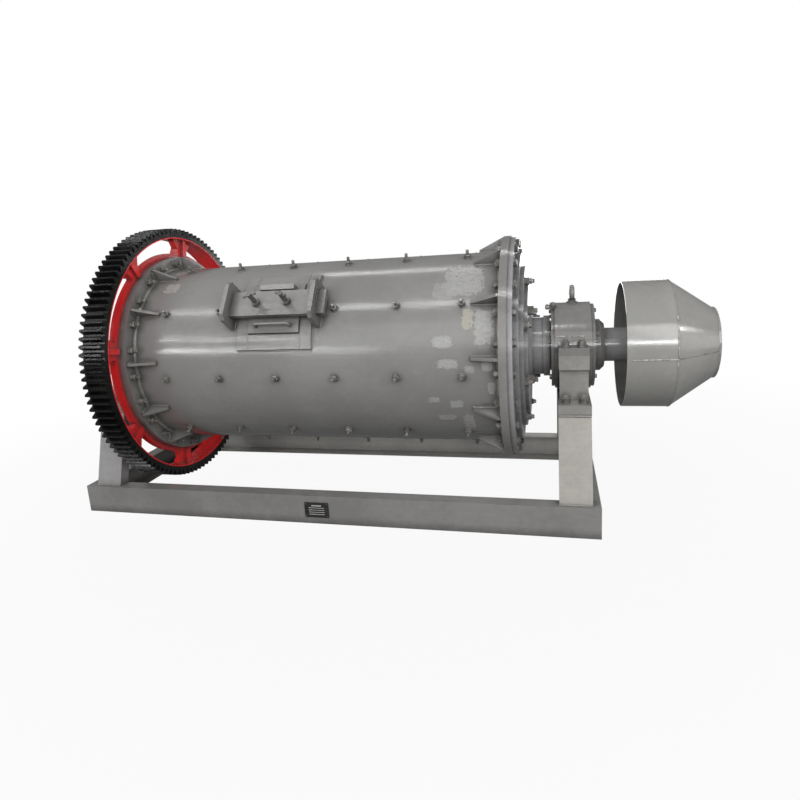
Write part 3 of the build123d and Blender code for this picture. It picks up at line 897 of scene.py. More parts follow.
@dataclass(frozen=True, kw_only=True)
class OiledIron(Finish):
    """Black greased iron whose bore is painted like the spider."""

    roughness: float = 0.13
    cloud_roughness: float = 0.18
    cloud_scale: float = 6.0
    wave: float = 0.4
    peel: float = 0.7
    relief: float = 0.0012
    specular: float = 0.38
    bore_paint: Colour
    bore_shade: float = 0.8
    bore_margin: float = 0.007
    bore_grain: Grain = (30.0, 4.0)
    bore_step: Span = (0.35, 0.62)

    def layer(self, ground: Ground, effects: Effects, layout: Layout) -> None:
        """Lays the paint inside the bore.

        Args:
            ground: The material under way.
            effects: The shared shader groups, unused here.
            layout: The mill's layout, for the axis of the bore.
        """
        parts = ground.split(ground.place)
        height = ground.math("SUBTRACT", parts[2], layout.axis)
        square = ground.math("MULTIPLY_ADD", parts[1], parts[1], ground.math("MULTIPLY", height, height))
        low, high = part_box("gear_spider")
        bore = (high.z - low.z) / 2 + self.bore_margin
        inner = ground.math("LESS_THAN", ground.math("SQRT", square), bore)
        painted = ground.step(ground.noise(ground.place, *self.bore_grain), *self.bore_step)
        shade = tuple(self.bore_shade * part for part in self.bore_paint)
        ground.cover(inner, ground.mix(painted, shade, self.bore_paint))

    def settings(self) -> dict[str, float]:
        """The strength of the iron's reflections."""
        return {"Specular IOR Level": self.specular}


@dataclass(frozen=True, kw_only=True)
class PlainMetal(Finish):
    """Bare or thinly painted steel with fine scratches."""

    cloud_roughness: float = 0.15
    cloud_scale: float = 20.0
    brush: float = 0.8
    wave: float = 0.2
    peel: float = 0.6
    relief: float = 0.0005
    metallic: float = 0.0

    def settings(self) -> dict[str, float]:
        """How metallic the surface is."""
        return {"Metallic": self.metallic}


MILL_LIGHT: Colour = (0.222, 0.218, 0.211)
MILL_DARK: Colour = (0.174, 0.171, 0.165)
SHELL_LIGHT: Colour = (0.216, 0.214, 0.210)
SHELL_DARK: Colour = (0.186, 0.184, 0.180)
FEEDER_LIGHT: Colour = (0.300, 0.297, 0.282)
FEEDER_DARK: Colour = (0.250, 0.248, 0.236)
GEAR_LIGHT: Colour = (0.0070, 0.0069, 0.0070)
GEAR_DARK: Colour = (0.0028, 0.0028, 0.0028)
RED: Colour = (0.86, 0.024, 0.028)
RED_SHADE = 0.75
RED_DARK: Colour = tuple(RED_SHADE * part for part in RED)

SHELL_SMEARS = (
    Smear(0.729, 51, 0.092, 12, 0.70),
    Smear(0.642, 43, 0.050, 6, 0.40),
    Smear(0.752, 25, 0.025, 6, 0.60, warm=True),
    Smear(0.822, 20, 0.044, 10, 0.72),
    Smear(0.642, 13, 0.046, 3.2, 0.70),
    Smear(0.666, 1, 0.048, 2.6, 0.70),
    Smear(0.758, -2, 0.022, 2, 0.55),
    Smear(0.833, 0, 0.024, 3, 0.75),
    Smear(0.848, -13, 0.016, 3.4, 0.80),
    Smear(0.594, -20, 0.026, 2, 0.65),
    Smear(0.691, -23, 0.031, 2.8, 0.72),
    Smear(0.641, -33, 0.044, 2.2, 0.62),
    Smear(0.738, -38, 0.026, 8, 0.62),
    Smear(-0.757, 55, 0.042, 5, 0.60),
    Smear(-0.795, 75, 0.034, 3, 0.50),
)


class Paintwork:
    """All finishes of the mill, built once."""

    def __init__(self, layout: Layout) -> None:
        """Builds every material.

        Args:
            layout: The mill's layout.
        """
        effects = Effects()
        finishes = (
            Enamel(Coat.MILL, MILL_LIGHT, MILL_DARK),
            Enamel(Coat.SHELL, SHELL_LIGHT, SHELL_DARK, putty=Putty(SHELL_SMEARS), wave=0.6, wear=0.0),
            Enamel(Coat.BASE, (0.285, 0.275, 0.258), (0.225, 0.218, 0.206)),
            # Bluish trunnion paint, lightened as painted light on the shaded neck, head and pipe
            Enamel(Coat.LIT_NECK, (0.310, 0.310, 0.316), (0.240, 0.240, 0.245)),
            # The hatch's mill paint darkened: painted shade on its yoke and brackets
            Enamel(Coat.HATCH, (0.176, 0.173, 0.168), (0.136, 0.133, 0.129), roughness=0.24, wear=0.5),
            Enamel(Coat.FEED_LEG, (0.345, 0.325, 0.297), (0.265, 0.250, 0.228), roughness=0.40),
            Enamel(Coat.DISCHARGE_LEG, (0.275, 0.268, 0.274), (0.215, 0.210, 0.214), roughness=0.40),
            # The back beam painted lighter, with less painted shade in its corners: painted light where the
            # mill shades it
            Enamel(Coat.BACK_BEAM, (0.430, 0.420, 0.400), (0.350, 0.340, 0.325), crevice_shading=0.5),
            Enamel(Coat.FEEDER, FEEDER_LIGHT, FEEDER_DARK, gloss=0.4, brush=0.05, streak=0.02, wear=0.2),
            Enamel(
                Coat.CONE,
                FEEDER_LIGHT,
                FEEDER_DARK,
                gloss=0.4,
                brush=0.05,
                streak=0.02,
                wear=0.8,
                wear_radius=0.010,
                worn=(0.145, 0.080, 0.062),
            ),
            Enamel(Coat.BEAD, (0.270, 0.262, 0.245), (0.195, 0.190, 0.177), wear=0.5, wave=0.2),
            # Pale seam colour, which on the bearing caps' seams is a painted highlight
            Enamel(Coat.SEAM, (0.560, 0.550, 0.525), (0.200, 0.195, 0.185), cloud_scale=55.0),
            Enamel(
                Coat.FASTENING,
                (0.270, 0.260, 0.241),
                (0.100, 0.095, 0.087),
                wear=0.6,
                wave=0.1,
                cloud_scale=22.0,
            ),
            Enamel(Coat.SPIDER, RED, RED_DARK, brush=0.5, wear=0.4, worn=(0.60, 0.10, 0.08), dusty=0.05),
            OiledIron(Coat.GEAR, GEAR_LIGHT, GEAR_DARK, bore_paint=RED),
            PlainMetal(
                Coat.SCREW, (0.190, 0.185, 0.175), (0.100, 0.097, 0.090), metallic=0.6, roughness=0.4
            ),
            PlainMetal(Coat.PLATE, (0.022, 0.022, 0.023), (0.012, 0.012, 0.012), roughness=0.32),
            PlainMetal(Coat.RULING, (0.55, 0.55, 0.53), (0.40, 0.40, 0.38), metallic=0.3, roughness=0.35),
        )
        self.materials = {finish.coat_name: finish.build(effects, layout) for finish in finishes}

    def coat(self, piece: Piece, coat: Coat) -> None:
        """Gives a piece one finish in every slot."""
        material = self.materials[coat]
        if not piece.data.materials:
            piece.data.materials.append(material)
        for index in range(len(piece.data.materials)):
            piece.data.materials[index] = material


@dataclass
class Assembly:
    """Base of the sub-assemblies: the finish and the ride of each piece."""

    layout: Layout
    paint: Paintwork

    def build(self) -> None:
        """Models and dresses the sub-assembly's pieces."""
        raise NotImplementedError

    def fit(self, piece: Piece, coat: Coat, body: Body, slot: Slot = Slot.MILL) -> Piece:
        """Dresses a finished piece and lets it ride on its body.

        Args:
            piece: The finished piece.
            coat: The piece's finish.
            body: The body that carries it.
            slot: The record's material slot; not used.

        Returns:
            The piece.
        """
        self.paint.coat(piece, coat)
        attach(piece, body.value)
        log.info("%s: %d faces on %s", piece.name, len(piece.data.polygons), body.value)
        return piece

    def fasten(self, name: str, fastener: Fastener, places: Sequence[Matrix], body: Body) -> Piece:
        """Sets a fastener on every place and dresses the whole."""
        return self.fit(Bench.spread(name, fastener.model(), places), Coat.FASTENING, body)

    def bead(self, name: str, beads: Sequence[Piece], body: Body, coat: Coat = Coat.BEAD) -> Piece:
        """Joins beads into one piece and dresses it."""
        return self.fit(Bench.join(name, beads), coat, body)


NODE_COATS = {
    "shell": Coat.SHELL,
    "girth_gear": Coat.GEAR,
    "gear_spider": Coat.SPIDER,
    "feed_bearing_base": Coat.BASE,
    "discharge_bearing_base": Coat.BASE,
    "feed_front_leg": Coat.FEED_LEG,
    "feed_back_leg": Coat.FEED_LEG,
    "discharge_front_leg": Coat.DISCHARGE_LEG,
    "discharge_back_leg": Coat.DISCHARGE_LEG,
    # The back beam takes the lightened paint: painted light
    "back_beam": Coat.BACK_BEAM,
    # The hatch's yoke and brackets take the darkened paint: painted shade
    "hatch_yoke": Coat.HATCH,
    "hatch_bracket_discharge": Coat.HATCH,
    "hatch_bracket_feed": Coat.HATCH,
    # The feed head, neck and pipe take the lightened trunnion paint: painted light
    "feed_head": Coat.LIT_NECK,
    "feed_trunnion": Coat.LIT_NECK,
    "feed_pipe": Coat.LIT_NECK,
    "feeder_drum": Coat.FEEDER,
    "feeder_cone": Coat.CONE,
    "feeder_plate": Coat.FEEDER,
    "hatch_screws": Coat.SCREW,
    "nameplate": Coat.PLATE,
}


@dataclass
class Castings(Assembly):
    """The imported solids, which only take their finishes."""

    coats: dict[str, Coat] = field(default_factory=lambda: NODE_COATS)

    def build(self) -> None:
        """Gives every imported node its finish."""
        for name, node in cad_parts.items():
            self.paint.coat(node, self.coats.get(name, Coat.MILL))


@dataclass(frozen=True)
class NutCircle:
    """Nuts on one circle of the feed head's inner plates."""

    name: str
    nut: Fastener
    angles: tuple[float, ...]
    radius: float
    face: float


@dataclass
class ShellFastenings(Assembly):
    """Liner bolts in rows on the shell, and the bolts of its flanges and of the feed head."""

    rows: int = 9
    first_row: float = 34.0
    first_station: float = -0.7245
    pitch: float = 0.290
    per_row: int = 6
    hidden: tuple[tuple[int, int], ...] = ((0, 2),)
    liner_bolt: Fastener = Fastener(0.028, 0.014, 0.019, 0.004, 0.0075, 0.021)
    bolt_turn: Span = (0.7, 0.4)
    flange_bolts: int = 24
    flange_first: float = 11.5
    bolt_circle: float = 0.497
    discharge_nut: Fastener = Fastener(0.028, 0.017, 0.017, 0.004, 0.008, 0.021)
    feed_nut: Fastener = Fastener(0.032, 0.017, 0.020, 0.004, 0.010, 0.006)
    low_nut: Fastener = Fastener(0.030, 0.012, 0.020, 0.003)
    feed_stack: float = 0.023
    discharge_stack: float = 0.059
    small_nut: Fastener = Fastener(0.029, 0.018, 0.020, 0.004, 0.010, 0.013)
    big_nut: Fastener = Fastener(0.036, 0.022, 0.022, 0.004, 0.011, 0.016)
    head_circles: tuple[NutCircle, ...] = (
        NutCircle("small", small_nut, (64, 24, -16, -56, -116, -156, 164, 124), 0.360, 0.063),
        NutCircle("big", big_nut, (41.5, -20.0, 160.0, 221.5), 0.300, 0.078),
    )

    def build(self) -> None:
        """Models the liner bolts, then the bolts of both flanges and of the feed head."""
        self._liner_bolts()
        for side in Side:
            self._flange_bolts(side)
        for circle in self.head_circles:
            station = self.layout.flange_outer + circle.face
            places = self._round(circle.angles, station, circle.radius, 1)
            self.fasten(f"feed_head_{circle.name}_nuts", circle.nut, places, Body.DRUM)

    def _liner_bolts(self) -> None:
        """The bolts that hold the inner plates, in rows along the shell."""
        by_index, by_row = self.bolt_turn
        places = []
        for row, angle in enumerate(evenly(self.first_row, self.rows)):
            for index in range(self.per_row):
                if (row, index) in self.hidden:
                    continue
                station = self.first_station + index * self.pitch
                place = self.layout.radial(station, self.layout.shell_radius - SUNK, angle)
                places.append(place @ Matrix.Rotation(by_index * index + by_row * row, 4, "Z"))
        self.fasten("liner_bolts", self.liner_bolt, places, Body.DRUM)

    def _round(self, angles: Sequence[float], station: float, radius: float, towards: int) -> list[Matrix]:
        """Places on a circle about the mill's axis, each turned a little further.

        Args:
            angles: Their angles in degrees.
            station: Their station.
            radius: The circle's radius.
            towards: 1 for +X or -1 for -X.

        Returns:
            The placing matrices.
        """
        return [
            self.layout.axial(station, radius, angle, towards) @ Matrix.Rotation(angle, 4, "Z")
            for angle in angles
        ]

    def _flange_bolts(self, side: Side) -> None:
        """Nuts on their bolts' ends behind the shell flange, and low nuts outside the head."""
        feed = side is Side.FEED
        sign = side.value
        inner = self.layout.flange_inner * sign
        outer = (self.layout.flange_outer + (self.feed_stack if feed else self.discharge_stack)) * sign
        angles = evenly(self.flange_first, self.flange_bolts)
        nut = self.feed_nut if feed else self.discharge_nut
        nuts = self._round(angles, inner, self.bolt_circle, -sign)
        self.fasten(f"{side.word}_flange_nuts", nut, nuts, Body.DRUM)
        low_nuts = self._round(angles, outer, self.bolt_circle, sign)
        self.fasten(f"{side.word}_flange_low_nuts", self.low_nut, low_nuts, Body.DRUM)


@dataclass
class ShellWelds(Assembly):
    """Fillet welds of the shell's flanges and their gussets."""

    ring_bead: Weld = Weld(0.015, ripple=0.3, pitch=0.018)
    gusset_bead: Weld = Weld(0.0055, ripple=0.5)
    gussets: int = 12
    first_gusset: float = 4.0
    gusset_length: float = 0.122
    gusset_half: float = 0.007
    rise: float = 0.060

    def build(self) -> None:
        """Lays the beads of both ends."""
        for side in Side:
            self._ring(side)
            self._gussets(side)

    def _ring(self, side: Side) -> None:
        """The bead between the shell and its flange."""
        station = (self.layout.flange_inner - BEAD_STEP) * side.value
        ring = self.ring_bead.arc(self.layout, station, self.layout.shell_radius + BEAD_STEP)
        self.bead(f"{side.word}_flange_weld", [ring], Body.DRUM)

    def _gussets(self, side: Side) -> None:
        """The beads on both sides of each gusset, along its foot and up the flange."""
        face = self.layout.flange_inner - BEAD_STEP
        foot = self.layout.shell_radius - SUNK
        beads = []
        for cheek in BOTH:
            y = cheek * (self.gusset_half + BEAD_STEP)
            corner = Vector((face, y, foot))
            beads.append(self.gusset_bead.line(Vector((face - self.gusset_length, y, foot)), corner))
            beads.append(self.gusset_bead.line(corner, Vector((face, y, foot + self.rise))))
        master = Bench.join("gusset_beads", beads)
        if side is Side.DISCHARGE:
            master.data.transform(Matrix.Scale(-1, 4, (1, 0, 0)))
            Bench.face_outwards(master)
        places = [self.layout.radial(0.0, 0.0, angle) for angle in evenly(self.first_gusset, self.gussets)]
        self.fit(Bench.spread(f"{side.word}_gusset_welds", master, places), Coat.BEAD, Body.DRUM)


@dataclass
class Hatch(Assembly):
    """The hatch's welds and the screws' bars; nothing here moves by itself."""

    station: float = -0.139
    angle: float = 35.0
    frame_bead: Weld = Weld(0.0045, ripple=0.5)
    frame_half_length: float = 0.185
    frame_half_width: float = 0.193
    frame_top: float = 0.012
    joint_bead: Weld = Weld(0.0024, ripple=0.7, pitch=0.006)
    joint_spacing: float = 0.129
    joint_sector: Span = (15.9, 8.4)
    bracket_bead: Weld = Weld(0.005, ripple=0.5)
    bracket_spacing: float = 0.214
    bracket_half: float = 0.010
    bracket_width: float = 0.100
    screw_spacing: float = 0.076
    screw_end: float = 0.608
    bar_radius: float = 0.0055
    bar_reach: float = 0.030
    bar_sides: int = 10
    bar_bevel: float = 0.0015
    bar_setback: float = 0.012
    bar_turn: float = 0.3
    rim_step: float = 0.1

    def build(self) -> None:
        """Models the beads and the screws' bars."""
        self._frame_beads()
        self._frame_joints()
        self._bracket_beads()
        self._tommy_bars()

    def _span(self, width: float) -> float:
        """Half of the angle that a width takes on the shell, in degrees."""
        return math.degrees(math.asin(width / self.layout.shell_radius))

    def _frame_beads(self) -> None:
        """The bead around the hatch's frame."""
        radius = self.layout.shell_radius
        span = self._span(self.frame_half_width)
        half = Vector((self.frame_half_length, 0, 0))
        beads = []
        for end in BOTH:
            station = self.station + end * (self.frame_half_length + BEAD_STEP)
            beads.append(self.frame_bead.arc(self.layout, station, radius, self.angle - span, 2 * span))
            rim = self.layout.radial(self.station, radius, self.angle + end * (span + self.rim_step))
            beads.append(self.frame_bead.line(rim @ -half, rim @ half))
        self.bead("hatch_frame_welds", beads, Body.DRUM)

    def _frame_joints(self) -> None:
        """The seams where the frame's four bars meet."""
        radius = self.layout.shell_radius + self.frame_top
        start, sweep = self.joint_sector
        seams = []
        for end in BOTH:
            station = self.station + end * self.joint_spacing
            for first in (self.angle + start, self.angle - start - sweep):
                seams.append(self.joint_bead.arc(self.layout, station, radius, first, sweep))
        self.bead("hatch_frame_joints", seams, Body.DRUM)

    def _bracket_beads(self) -> None:
        """The beads on both sides of each bracket's foot."""
        span = self._span(self.bracket_width)
        radius = self.layout.shell_radius
        beads = []
        for end in BOTH:
            middle = self.station + end * self.bracket_spacing
            for cheek in BOTH:
                station = middle + cheek * (self.bracket_half + BEAD_STEP)
                bead = self.bracket_bead.arc(self.layout, station, radius, self.angle - span, 2 * span)
                beads.append(bead)
        self.bead("hatch_bracket_welds", beads, Body.DRUM)

    def _tommy_bars(self) -> None:
        """The short cross bar through the outer end of each screw."""
        reach = self.bar_reach
        bars = []
        for end in BOTH:
            bar = Plug(self.bar_sides, self.bar_radius, -reach, reach, self.bar_bevel).model()
            Bench.bevel_at(bar, -reach, self.bar_bevel)
            station = self.station + end * self.screw_spacing
            place = self.layout.radial(station, self.screw_end - self.bar_setback, self.angle)
            turn = Matrix.Rotation(math.pi / 2, 4, "Y") @ Matrix.Rotation(self.bar_turn * end, 4, "X")
            bar.data.transform(place @ turn)
            Bench.smooth(bar)
            bars.append(bar)
        self.fit(Bench.join("screw_bars", bars), Coat.SCREW, Body.DRUM, Slot.SCREW)


@dataclass(frozen=True)
class CornerNuts:
    """Four nuts at the corners of a rectangle about a bearing's middle."""

    part: str
    nut: Fastener
    along: float
    across: float
    height: float


@dataclass
class Bearing(Assembly):
    """One bearing's nuts, cover screws, seams and grease fitting, and the welds of its legs."""

    side: Side = Side.FEED
    cap_nut: Fastener = Fastener(0.030, 0.022, 0.019, 0.004, 0.010, 0.014)
    foot_nut: Fastener = Fastener(0.034, 0.020, 0.022, 0.004, 0.011, 0.007)
    corner_nuts: tuple[CornerNuts, ...] = (
        CornerNuts("cap", cap_nut, 0.035, 0.250, 0.035),
        CornerNuts("foot", foot_nut, 0.038, 0.3135, -0.200),
    )
    nut_turn: Triple = (0.3, 0.4, 0.2)
    foot_half_span: float = 0.365
    cover_screw: Fastener = Fastener(0.016, 0.008, 0.011, 0.002)
    cover_screws: int = 6
    cover_first: float = 15.0
    cover_circle: float = 0.176
    cover_face: float = 0.096
    seam: Weld = Weld(0.0034, ripple=0.9, pitch=0.008)
    seam_radius: float = 0.2050
    seam_angle: float = 20.9
    seam_ends: Span = (-0.076, 0.048)
    stem: Plug = Plug(6, 0.016, 0.0, 0.036, 0.003)
    elbow: Plug = Plug(12, 0.010, 0.0, 0.034, 0.002)
    nipple: Plug = Plug(6, 0.0125, 0.0, 0.012, 0.002)
    elbow_rise: float = 0.017
    nipple_reach: float = 0.019
    fitting_station: float = 0.088
    fitting_radius: float = 0.190
    fitting_lean: float = 20.0
    leg_bead: Weld = Weld(0.0055, ripple=0.5)

    def __post_init__(self) -> None:
        """Reads the bearing's middle from its cap."""
        low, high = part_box(f"{self.side.word}_bearing_cap")
        self.station = (low.x + high.x) / 2

    def build(self) -> None:
        """Models the nuts, the cover screws, the seams, the grease fitting and the welds."""
        for nuts in self.corner_nuts:
            self._nuts(nuts)
        self._cover_screws()
        self._cap_seams()
        self._grease_fitting()
        self._leg_welds()

    def _nuts(self, nuts: CornerNuts) -> None:
        """The four nuts on the cap's ears or on the foot."""
        turn, by_x, by_y = self.nut_turn
        height = self.layout.axis + nuts.height
        places = [
            Matrix.Translation((self.station + x * nuts.along, y * nuts.across, height))
            @ Matrix.Rotation(turn + by_x * x + by_y * y, 4, "Z")
            for x in BOTH
            for y in BOTH
        ]
        self.fasten(f"{self.side.word}_{nuts.part}_nuts", nuts.nut, places, Body.FRAME)

    def _cover_screws(self) -> None:
        """The hexagon screws round both covers."""
        middle = self.station - self.layout.middle
        places = [
            self.layout.axial(middle + towards * self.cover_face, self.cover_circle, angle, towards)
            for towards in BOTH
            for angle in evenly(self.cover_first, self.cover_screws)
        ]
        self.fasten(f"{self.side.word}_cover_screws", self.cover_screw, places, Body.FRAME)

    def _cap_seams(self) -> None:
        """The casting's raised seam along both sides of the cap, whose pale colour is a painted highlight.
        """
        first, last = (Vector((end, 0, 0)) for end in self.seam_ends)
        beads = []
        for angle in (self.seam_angle, HALF_TURN - self.seam_angle):
            place = self.layout.radial(self.station - self.layout.middle, self.seam_radius, angle)
            beads.append(self.seam.line(place @ first, place @ last))
        # The pale colour paints the seam's highlight
        self.bead(f"{self.side.word}_cap_seams", beads, Body.FRAME, Coat.SEAM)

    def _grease_fitting(self) -> None:
        """The elbow and nipple on top of the inner cover."""
        inward = -self.side.value
        lie = Matrix.Rotation(inward * math.pi / 2, 4, "Y")
        stem = self.stem.model()
        elbow = self.elbow.model()
        elbow.data.transform(Matrix.Translation((0, 0, self.elbow_rise)) @ lie)
        nipple = self.nipple.model()
        nipple.data.transform(Matrix.Translation((inward * self.nipple_reach, 0, self.elbow_rise)) @ lie)
        fitting = Bench.join(f"{self.side.word}_grease_fitting", [stem, elbow, nipple])
        Bench.smooth(fitting)
        place = Matrix.Translation((self.station + inward * self.fitting_station, 0, self.layout.axis))
        lean = Matrix.Rotation(math.radians(self.fitting_lean), 4, "X")
        fitting.data.transform(place @ lean @ Matrix.Translation((0, 0, self.fitting_radius)))
        self.fit(fitting, Coat.FASTENING, Body.FRAME)

    def _leg_welds(self) -> None:
        """The beads at both ends of both legs."""
        beads = []
        for leg, outward in (("front", -1), ("back", 1)):
            low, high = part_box(f"{self.side.word}_{leg}_leg")
            outer = (low.y if outward < 0 else high.y) - outward * BEAD_STEP
            for y, z in ((outer, low.z), (outward * self.foot_half_span, high.z)):
                beads.append(self.leg_bead.line(Vector((low.x, y, z)), Vector((high.x, y, z))))
        self.bead(f"{self.side.word}_leg_welds", beads, Body.FRAME)


@dataclass
class Feeder(Assembly):
    """The feeder's welded seams."""

    drum_radius: float = 0.292
    lip_radius: float = 0.161
    lip_length: float = 0.010
    ring_seam: Weld = Weld(0.0026, ripple=0.5, pitch=0.008)
    bare_seam: Weld = Weld(0.0034, ripple=1.1, pitch=0.007)
    bare_first: float = -9.0
    bare_sweep: float = 43.0
    cone_seam: Weld = Weld(0.0024, ripple=0.7, pitch=0.007)
    seam_angle: float = -4.0
    seam_start: float = 0.022

    def build(self) -> None:
        """Lays the drum's ring seam with its bare stretch, then the seams along the drum and cone."""
        drum_low, drum_high = (corner.x - self.layout.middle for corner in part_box("feeder_drum"))
        cone_low, cone_high = (corner.x - self.layout.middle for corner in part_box("feeder_cone"))
        along = self.layout.radial(0.0, 0.0, self.seam_angle)
        skin = self.drum_radius - BEAD_STEP
        ring = self.ring_seam.arc(self.layout, drum_high, skin)
        ring.name = "feeder_ring_seam"
        self.fit(ring, Coat.FEEDER, Body.DRUM, Slot.FEEDER)
        bare = self.bare_seam.arc(self.layout, drum_high, skin, self.bare_first, self.bare_sweep)
        start = Vector((drum_low + self.seam_start, 0, skin))
        line = self.bare_seam.line(along @ start, along @ Vector((drum_high, 0, skin)))
        seams = Bench.join("feeder_bare_seams", [bare, line])
        self.fit(seams, Coat.SEAM, Body.DRUM, Slot.FEEDER)
        foot = Vector((cone_low, 0, skin))
        tip = Vector((cone_high - self.lip_length, 0, self.lip_radius - BEAD_STEP))
        seam = self.cone_seam.line(along @ foot, along @ tip)
        seam.name = "feeder_cone_seam"
        self.fit(seam, Coat.FASTENING, Body.DRUM, Slot.FEEDER)


@dataclass
class Nameplate(Assembly):
    """The blank plate's rivets and its generic pale rulings."""

    rivet: Plug = Plug(12, 0.0035, 0.0, 0.002, 0.0012, 2)
    rivet_smooth_below: float = 60.0
    rivet_spread: Span = (0.053, 0.030)
    rulings: int = 5
    ruling: Plug = Plug(4, 0.5 * math.sqrt(2), 0.0, 0.0006, 0.0001)
    ruling_gap: float = 0.0108
    title_size: Span = (0.048, 0.006)
    ruling_size: Span = (0.078, 0.0026)

    def __post_init__(self) -> None:
        """Reads the middle of the plate's face."""
        low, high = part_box("nameplate")
        middle = Matrix.Translation(((low.x + high.x) / 2, low.y, (low.z + high.z) / 2))
        self.place = middle @ Matrix.Rotation(math.pi / 2, 4, "X")

    def build(self) -> None:
        """Models the rivets and the rulings on the plate's face."""
        self._rivets()
        self._rulings()

    def _rivets(self) -> None:
        """A domed rivet in each corner."""
        rivet = self.rivet.model()
        Bench.smooth(rivet, self.rivet_smooth_below)
        wide, tall = self.rivet_spread
        places = [self.place @ Matrix.Translation((x * wide, z * tall, 0)) for x in BOTH for z in BOTH]
        self.fit(Bench.spread("nameplate_rivets", rivet, places), Coat.SCREW, Body.FRAME, Slot.PLATE)

    def _rulings(self) -> None:
        """A short wide bar over long thin ones, with nothing written."""
        rule = self.ruling.model()
        rule.data.transform(Matrix.Rotation(math.pi / 4, 4, "Z"))
        places = []
        for index in range(self.rulings):
            width, height = self.ruling_size if index else self.title_size
            up = self.ruling_gap * ((self.rulings - 1) / 2 - index)
            size = Matrix.Diagonal((width, height, 1.0, 1.0))
            places.append(self.place @ Matrix.Translation((0, up, 0)) @ size)
        self.fit(Bench.spread("nameplate_rulings", rule, places), Coat.RULING, Body.FRAME, Slot.PLATE)


@dataclass(frozen=True)
class Lamp:
    """A soft rectangular lamp that looks at a point."""

    name: str
    place: Triple
    target: Triple
    size: Span
    watts: float

    def light(self) -> None:
        """Adds the lamp."""
        Bench.clear()
        way = Vector(self.target) - Vector(self.place)
        bpy.ops.object.light_add(type="AREA", location=self.place)
        lamp = bpy.context.object
        lamp.name = self.name
        lamp.rotation_euler = way.to_track_quat("-Z", "Y").to_euler()
        lamp.data.shape = "RECTANGLE"
        lamp.data.size, lamp.data.size_y = self.size
        lamp.data.energy = self.watts


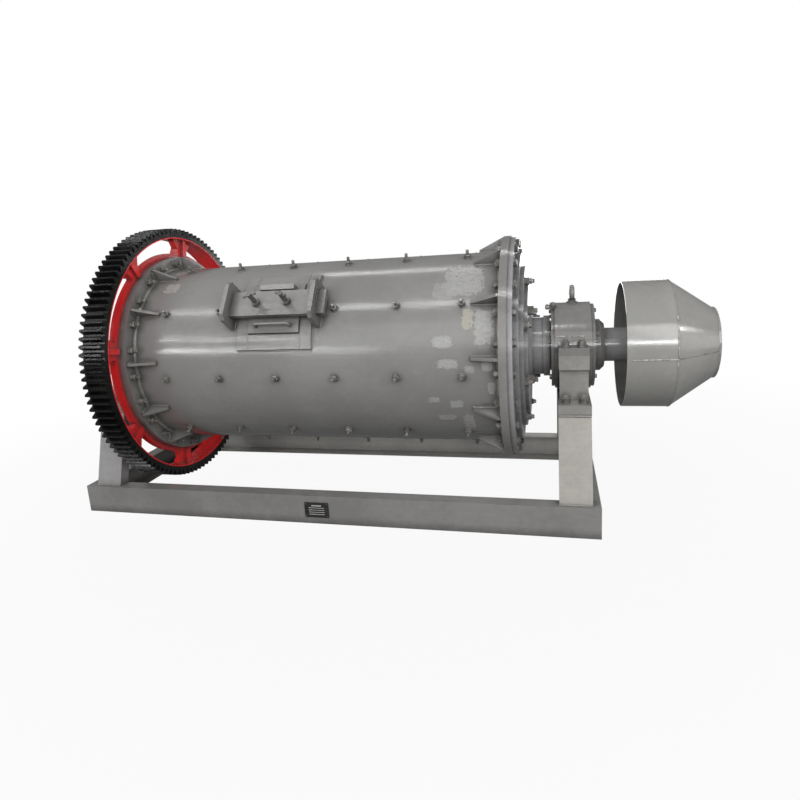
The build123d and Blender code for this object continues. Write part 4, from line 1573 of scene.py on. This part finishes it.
@dataclass(frozen=True)
class Studio:
    """The plain floor, the lamps, the pale surroundings and the camera."""

    camera_place: Triple = (0.8282, -2.9418, 1.2748)
    yaw: float = 0.255
    pitch: float = -0.207
    roll: float = -0.064
    lens: float = 26.92
    sensor: float = 36.0
    shift: Span = (0.0005, -0.0382)
    far_end: float = 200.0
    lamps: tuple[Lamp, ...] = (
        Lamp("front_bank", (0.9, -3.9, 2.8), (0.1, 0.0, 0.7), (5.0, 2.2), 54.0),
        Lamp("upper_strip", (-0.9, -1.57, 3.4), (-0.9, 0.0, 0.9), (4.0, 0.15), 33.0),
        Lamp("left_strip", (-2.8, -4.5, 1.63), (-0.55, 0.0, 0.75), (3.0, 0.18), 47.0),
        Lamp("left_tube", (-3.2, -4.5, 2.82), (-0.7, 0.0, 0.75), (2.2, 0.06), 22.0),
        Lamp("right_strip", (1.6, -4.5, 1.68), (1.1, 0.0, 0.75), (1.9, 0.34), 40.0),
        Lamp("right_fill", (2.8, -3.0, 2.3), (0.9, 0.0, 0.75), (2.4, 2.4), 48.0),
        Lamp("left_fill", (-3.4, -2.2, 1.9), (-0.8, 0.0, 0.7), (1.6, 1.6), 8.0),
        Lamp("back_strip", (-0.4, 1.15, 3.6), (-0.4, 0.0, 1.0), (1.9, 0.06), 10.0),
        Lamp("end_strip", (4.0, -0.50, 1.62), (1.3, 0.0, 0.8), (0.25, 0.12), 5.0),
        Lamp("end_bank", (5.0, 0.4, 0.9), (1.0, 0.0, 0.7), (2.6, 1.2), 14.0),
        Lamp("back_bank", (0.0, 5.0, 0.75), (0.0, 0.0, 0.7), (5.0, 1.0), 50.0),
    )
    room_side: float = 0.56
    room_top: float = 0.13
    room_rise: Span = (0.15, 0.95)
    room_gloss: float = 0.24
    floor_size: float = 60.0
    floor_colour: Colour = (0.11, 0.11, 0.108)
    floor_roughness: float = 0.8
    floor_specular: float = 0.2
    floor_gloss: float = 0.13
    floor_near: float = 0.94
    floor_fade: Span = (1.2, 4.0)

    def build(self) -> None:
        """Adds everything that isn't the mill."""
        bpy.context.scene.view_settings.view_transform = "Standard"
        self._camera()
        self._floor()
        self._surroundings()
        for lamp in self.lamps:
            lamp.light()

    def _camera(self) -> None:
        """Sets the camera at the photograph's viewing angle."""
        yaw, pitch, roll = self.yaw, self.pitch, self.roll
        level = Vector((math.cos(yaw), math.sin(yaw), 0.0))
        forward = Vector((-math.sin(yaw), math.cos(yaw), math.tan(pitch))).normalized()
        upright = level.cross(forward)
        right = math.cos(roll) * level + math.sin(roll) * upright
        up = math.cos(roll) * upright - math.sin(roll) * level
        Bench.clear()
        bpy.ops.object.camera_add(location=self.camera_place)
        camera = bpy.context.object
        turn = Matrix((right, up, -forward)).transposed().to_4x4()
        camera.matrix_world = Matrix.Translation(self.camera_place) @ turn
        camera.data.sensor_width = self.sensor
        camera.data.lens = self.lens
        camera.data.shift_x, camera.data.shift_y = self.shift
        camera.data.clip_end = self.far_end
        bpy.context.scene.camera = camera

    def _floor(self) -> None:
        """Lays the pale floor, which turns white away from the mill."""
        Bench.clear()
        bpy.ops.mesh.primitive_plane_add(size=self.floor_size, location=(0, 0, 0))
        floor = bpy.context.object
        floor.name = "floor"
        material = bpy.data.materials.new("floor_pale")
        material.use_nodes = True
        nodes = Nodes(material.node_tree)
        shader = material.node_tree.nodes["Principled BSDF"]
        nodes.wire(self.floor_colour, shader.inputs["Base Color"])
        nodes.wire(self.floor_roughness, shader.inputs["Roughness"])
        nodes.wire(self.floor_specular, shader.inputs["Specular IOR Level"])
        glow = nodes.add("Emission", {"Color": WHITE, "Strength": 1.0}).outputs[0]
        place = nodes.add("TexCoord").outputs["Object"]
        away = nodes.add("VectorMath", {0: place}, operation="LENGTH").outputs["Value"]
        far = nodes.step(away, *self.floor_fade)
        share = nodes.math("MULTIPLY_ADD", far, 1.0 - self.floor_near, self.floor_near)
        seen = nodes.math("MULTIPLY", self._strength(nodes, self.floor_gloss, 0.0), share)
        blend = nodes.add("MixShader", {0: seen, 1: shader.outputs[0], 2: glow}).outputs[0]
        nodes.wire(blend, material.node_tree.nodes["Material Output"].inputs["Surface"])
        floor.data.materials.append(material)

    def _strength(self, nodes: Nodes, gloss: float, other: Any) -> Socket:
        """How white a ray meets the surroundings.

        Args:
            nodes: The node builder.
            gloss: The strength for glossy rays.
            other: The strength for every ray that isn't seen, clear or glossy.

        Returns:
            1 where the surroundings are seen, and the given strengths elsewhere.
        """
        ray = nodes.add("LightPath").outputs
        clear = nodes.math("MAXIMUM", ray["Is Camera Ray"], ray["Is Transmission Ray"])
        rest = nodes.math("MULTIPLY", nodes.math("SUBTRACT", 1.0, ray["Is Glossy Ray"]), other)
        glossy = nodes.math("MULTIPLY_ADD", ray["Is Glossy Ray"], gloss, rest)
        return nodes.math("MAXIMUM", clear, glossy)

    def _surroundings(self) -> None:
        """Makes the world white where it is seen, and a soft pale light otherwise."""
        world = bpy.data.worlds.new("pale_room")
        bpy.context.scene.world = world
        world.use_nodes = True
        nodes = Nodes(world.node_tree)
        back = world.node_tree.nodes["Background"]
        nodes.wire(WHITE, back.inputs["Color"])
        up = nodes.split(nodes.add("TexCoord").outputs["Generated"])[2]
        drop = self.room_top - self.room_side
        light = nodes.math("MULTIPLY_ADD", nodes.step(up, *self.room_rise), drop, self.room_side)
        strength = self._strength(nodes, self.room_gloss, light)
        nodes.wire(strength, back.inputs["Strength"])


def main() -> None:
    """Builds the studio, the finishes and every sub-assembly in order."""
    logging.basicConfig(level=logging.INFO, format="%(name)s %(message)s")
    layout = Layout.read()
    Studio().build()
    paint = Paintwork(layout)
    assemblies: tuple[Assembly, ...] = (
        Castings(layout, paint),
        ShellFastenings(layout, paint),
        ShellWelds(layout, paint),
        Hatch(layout, paint),
        Bearing(layout, paint, Side.FEED),
        Bearing(layout, paint, Side.DISCHARGE),
        Feeder(layout, paint),
        Nameplate(layout, paint),
    )
    for assembly in assemblies:
        assembly.build()
        log.info("%s done", type(assembly).__name__)


if __name__ == "__main__":
    main()
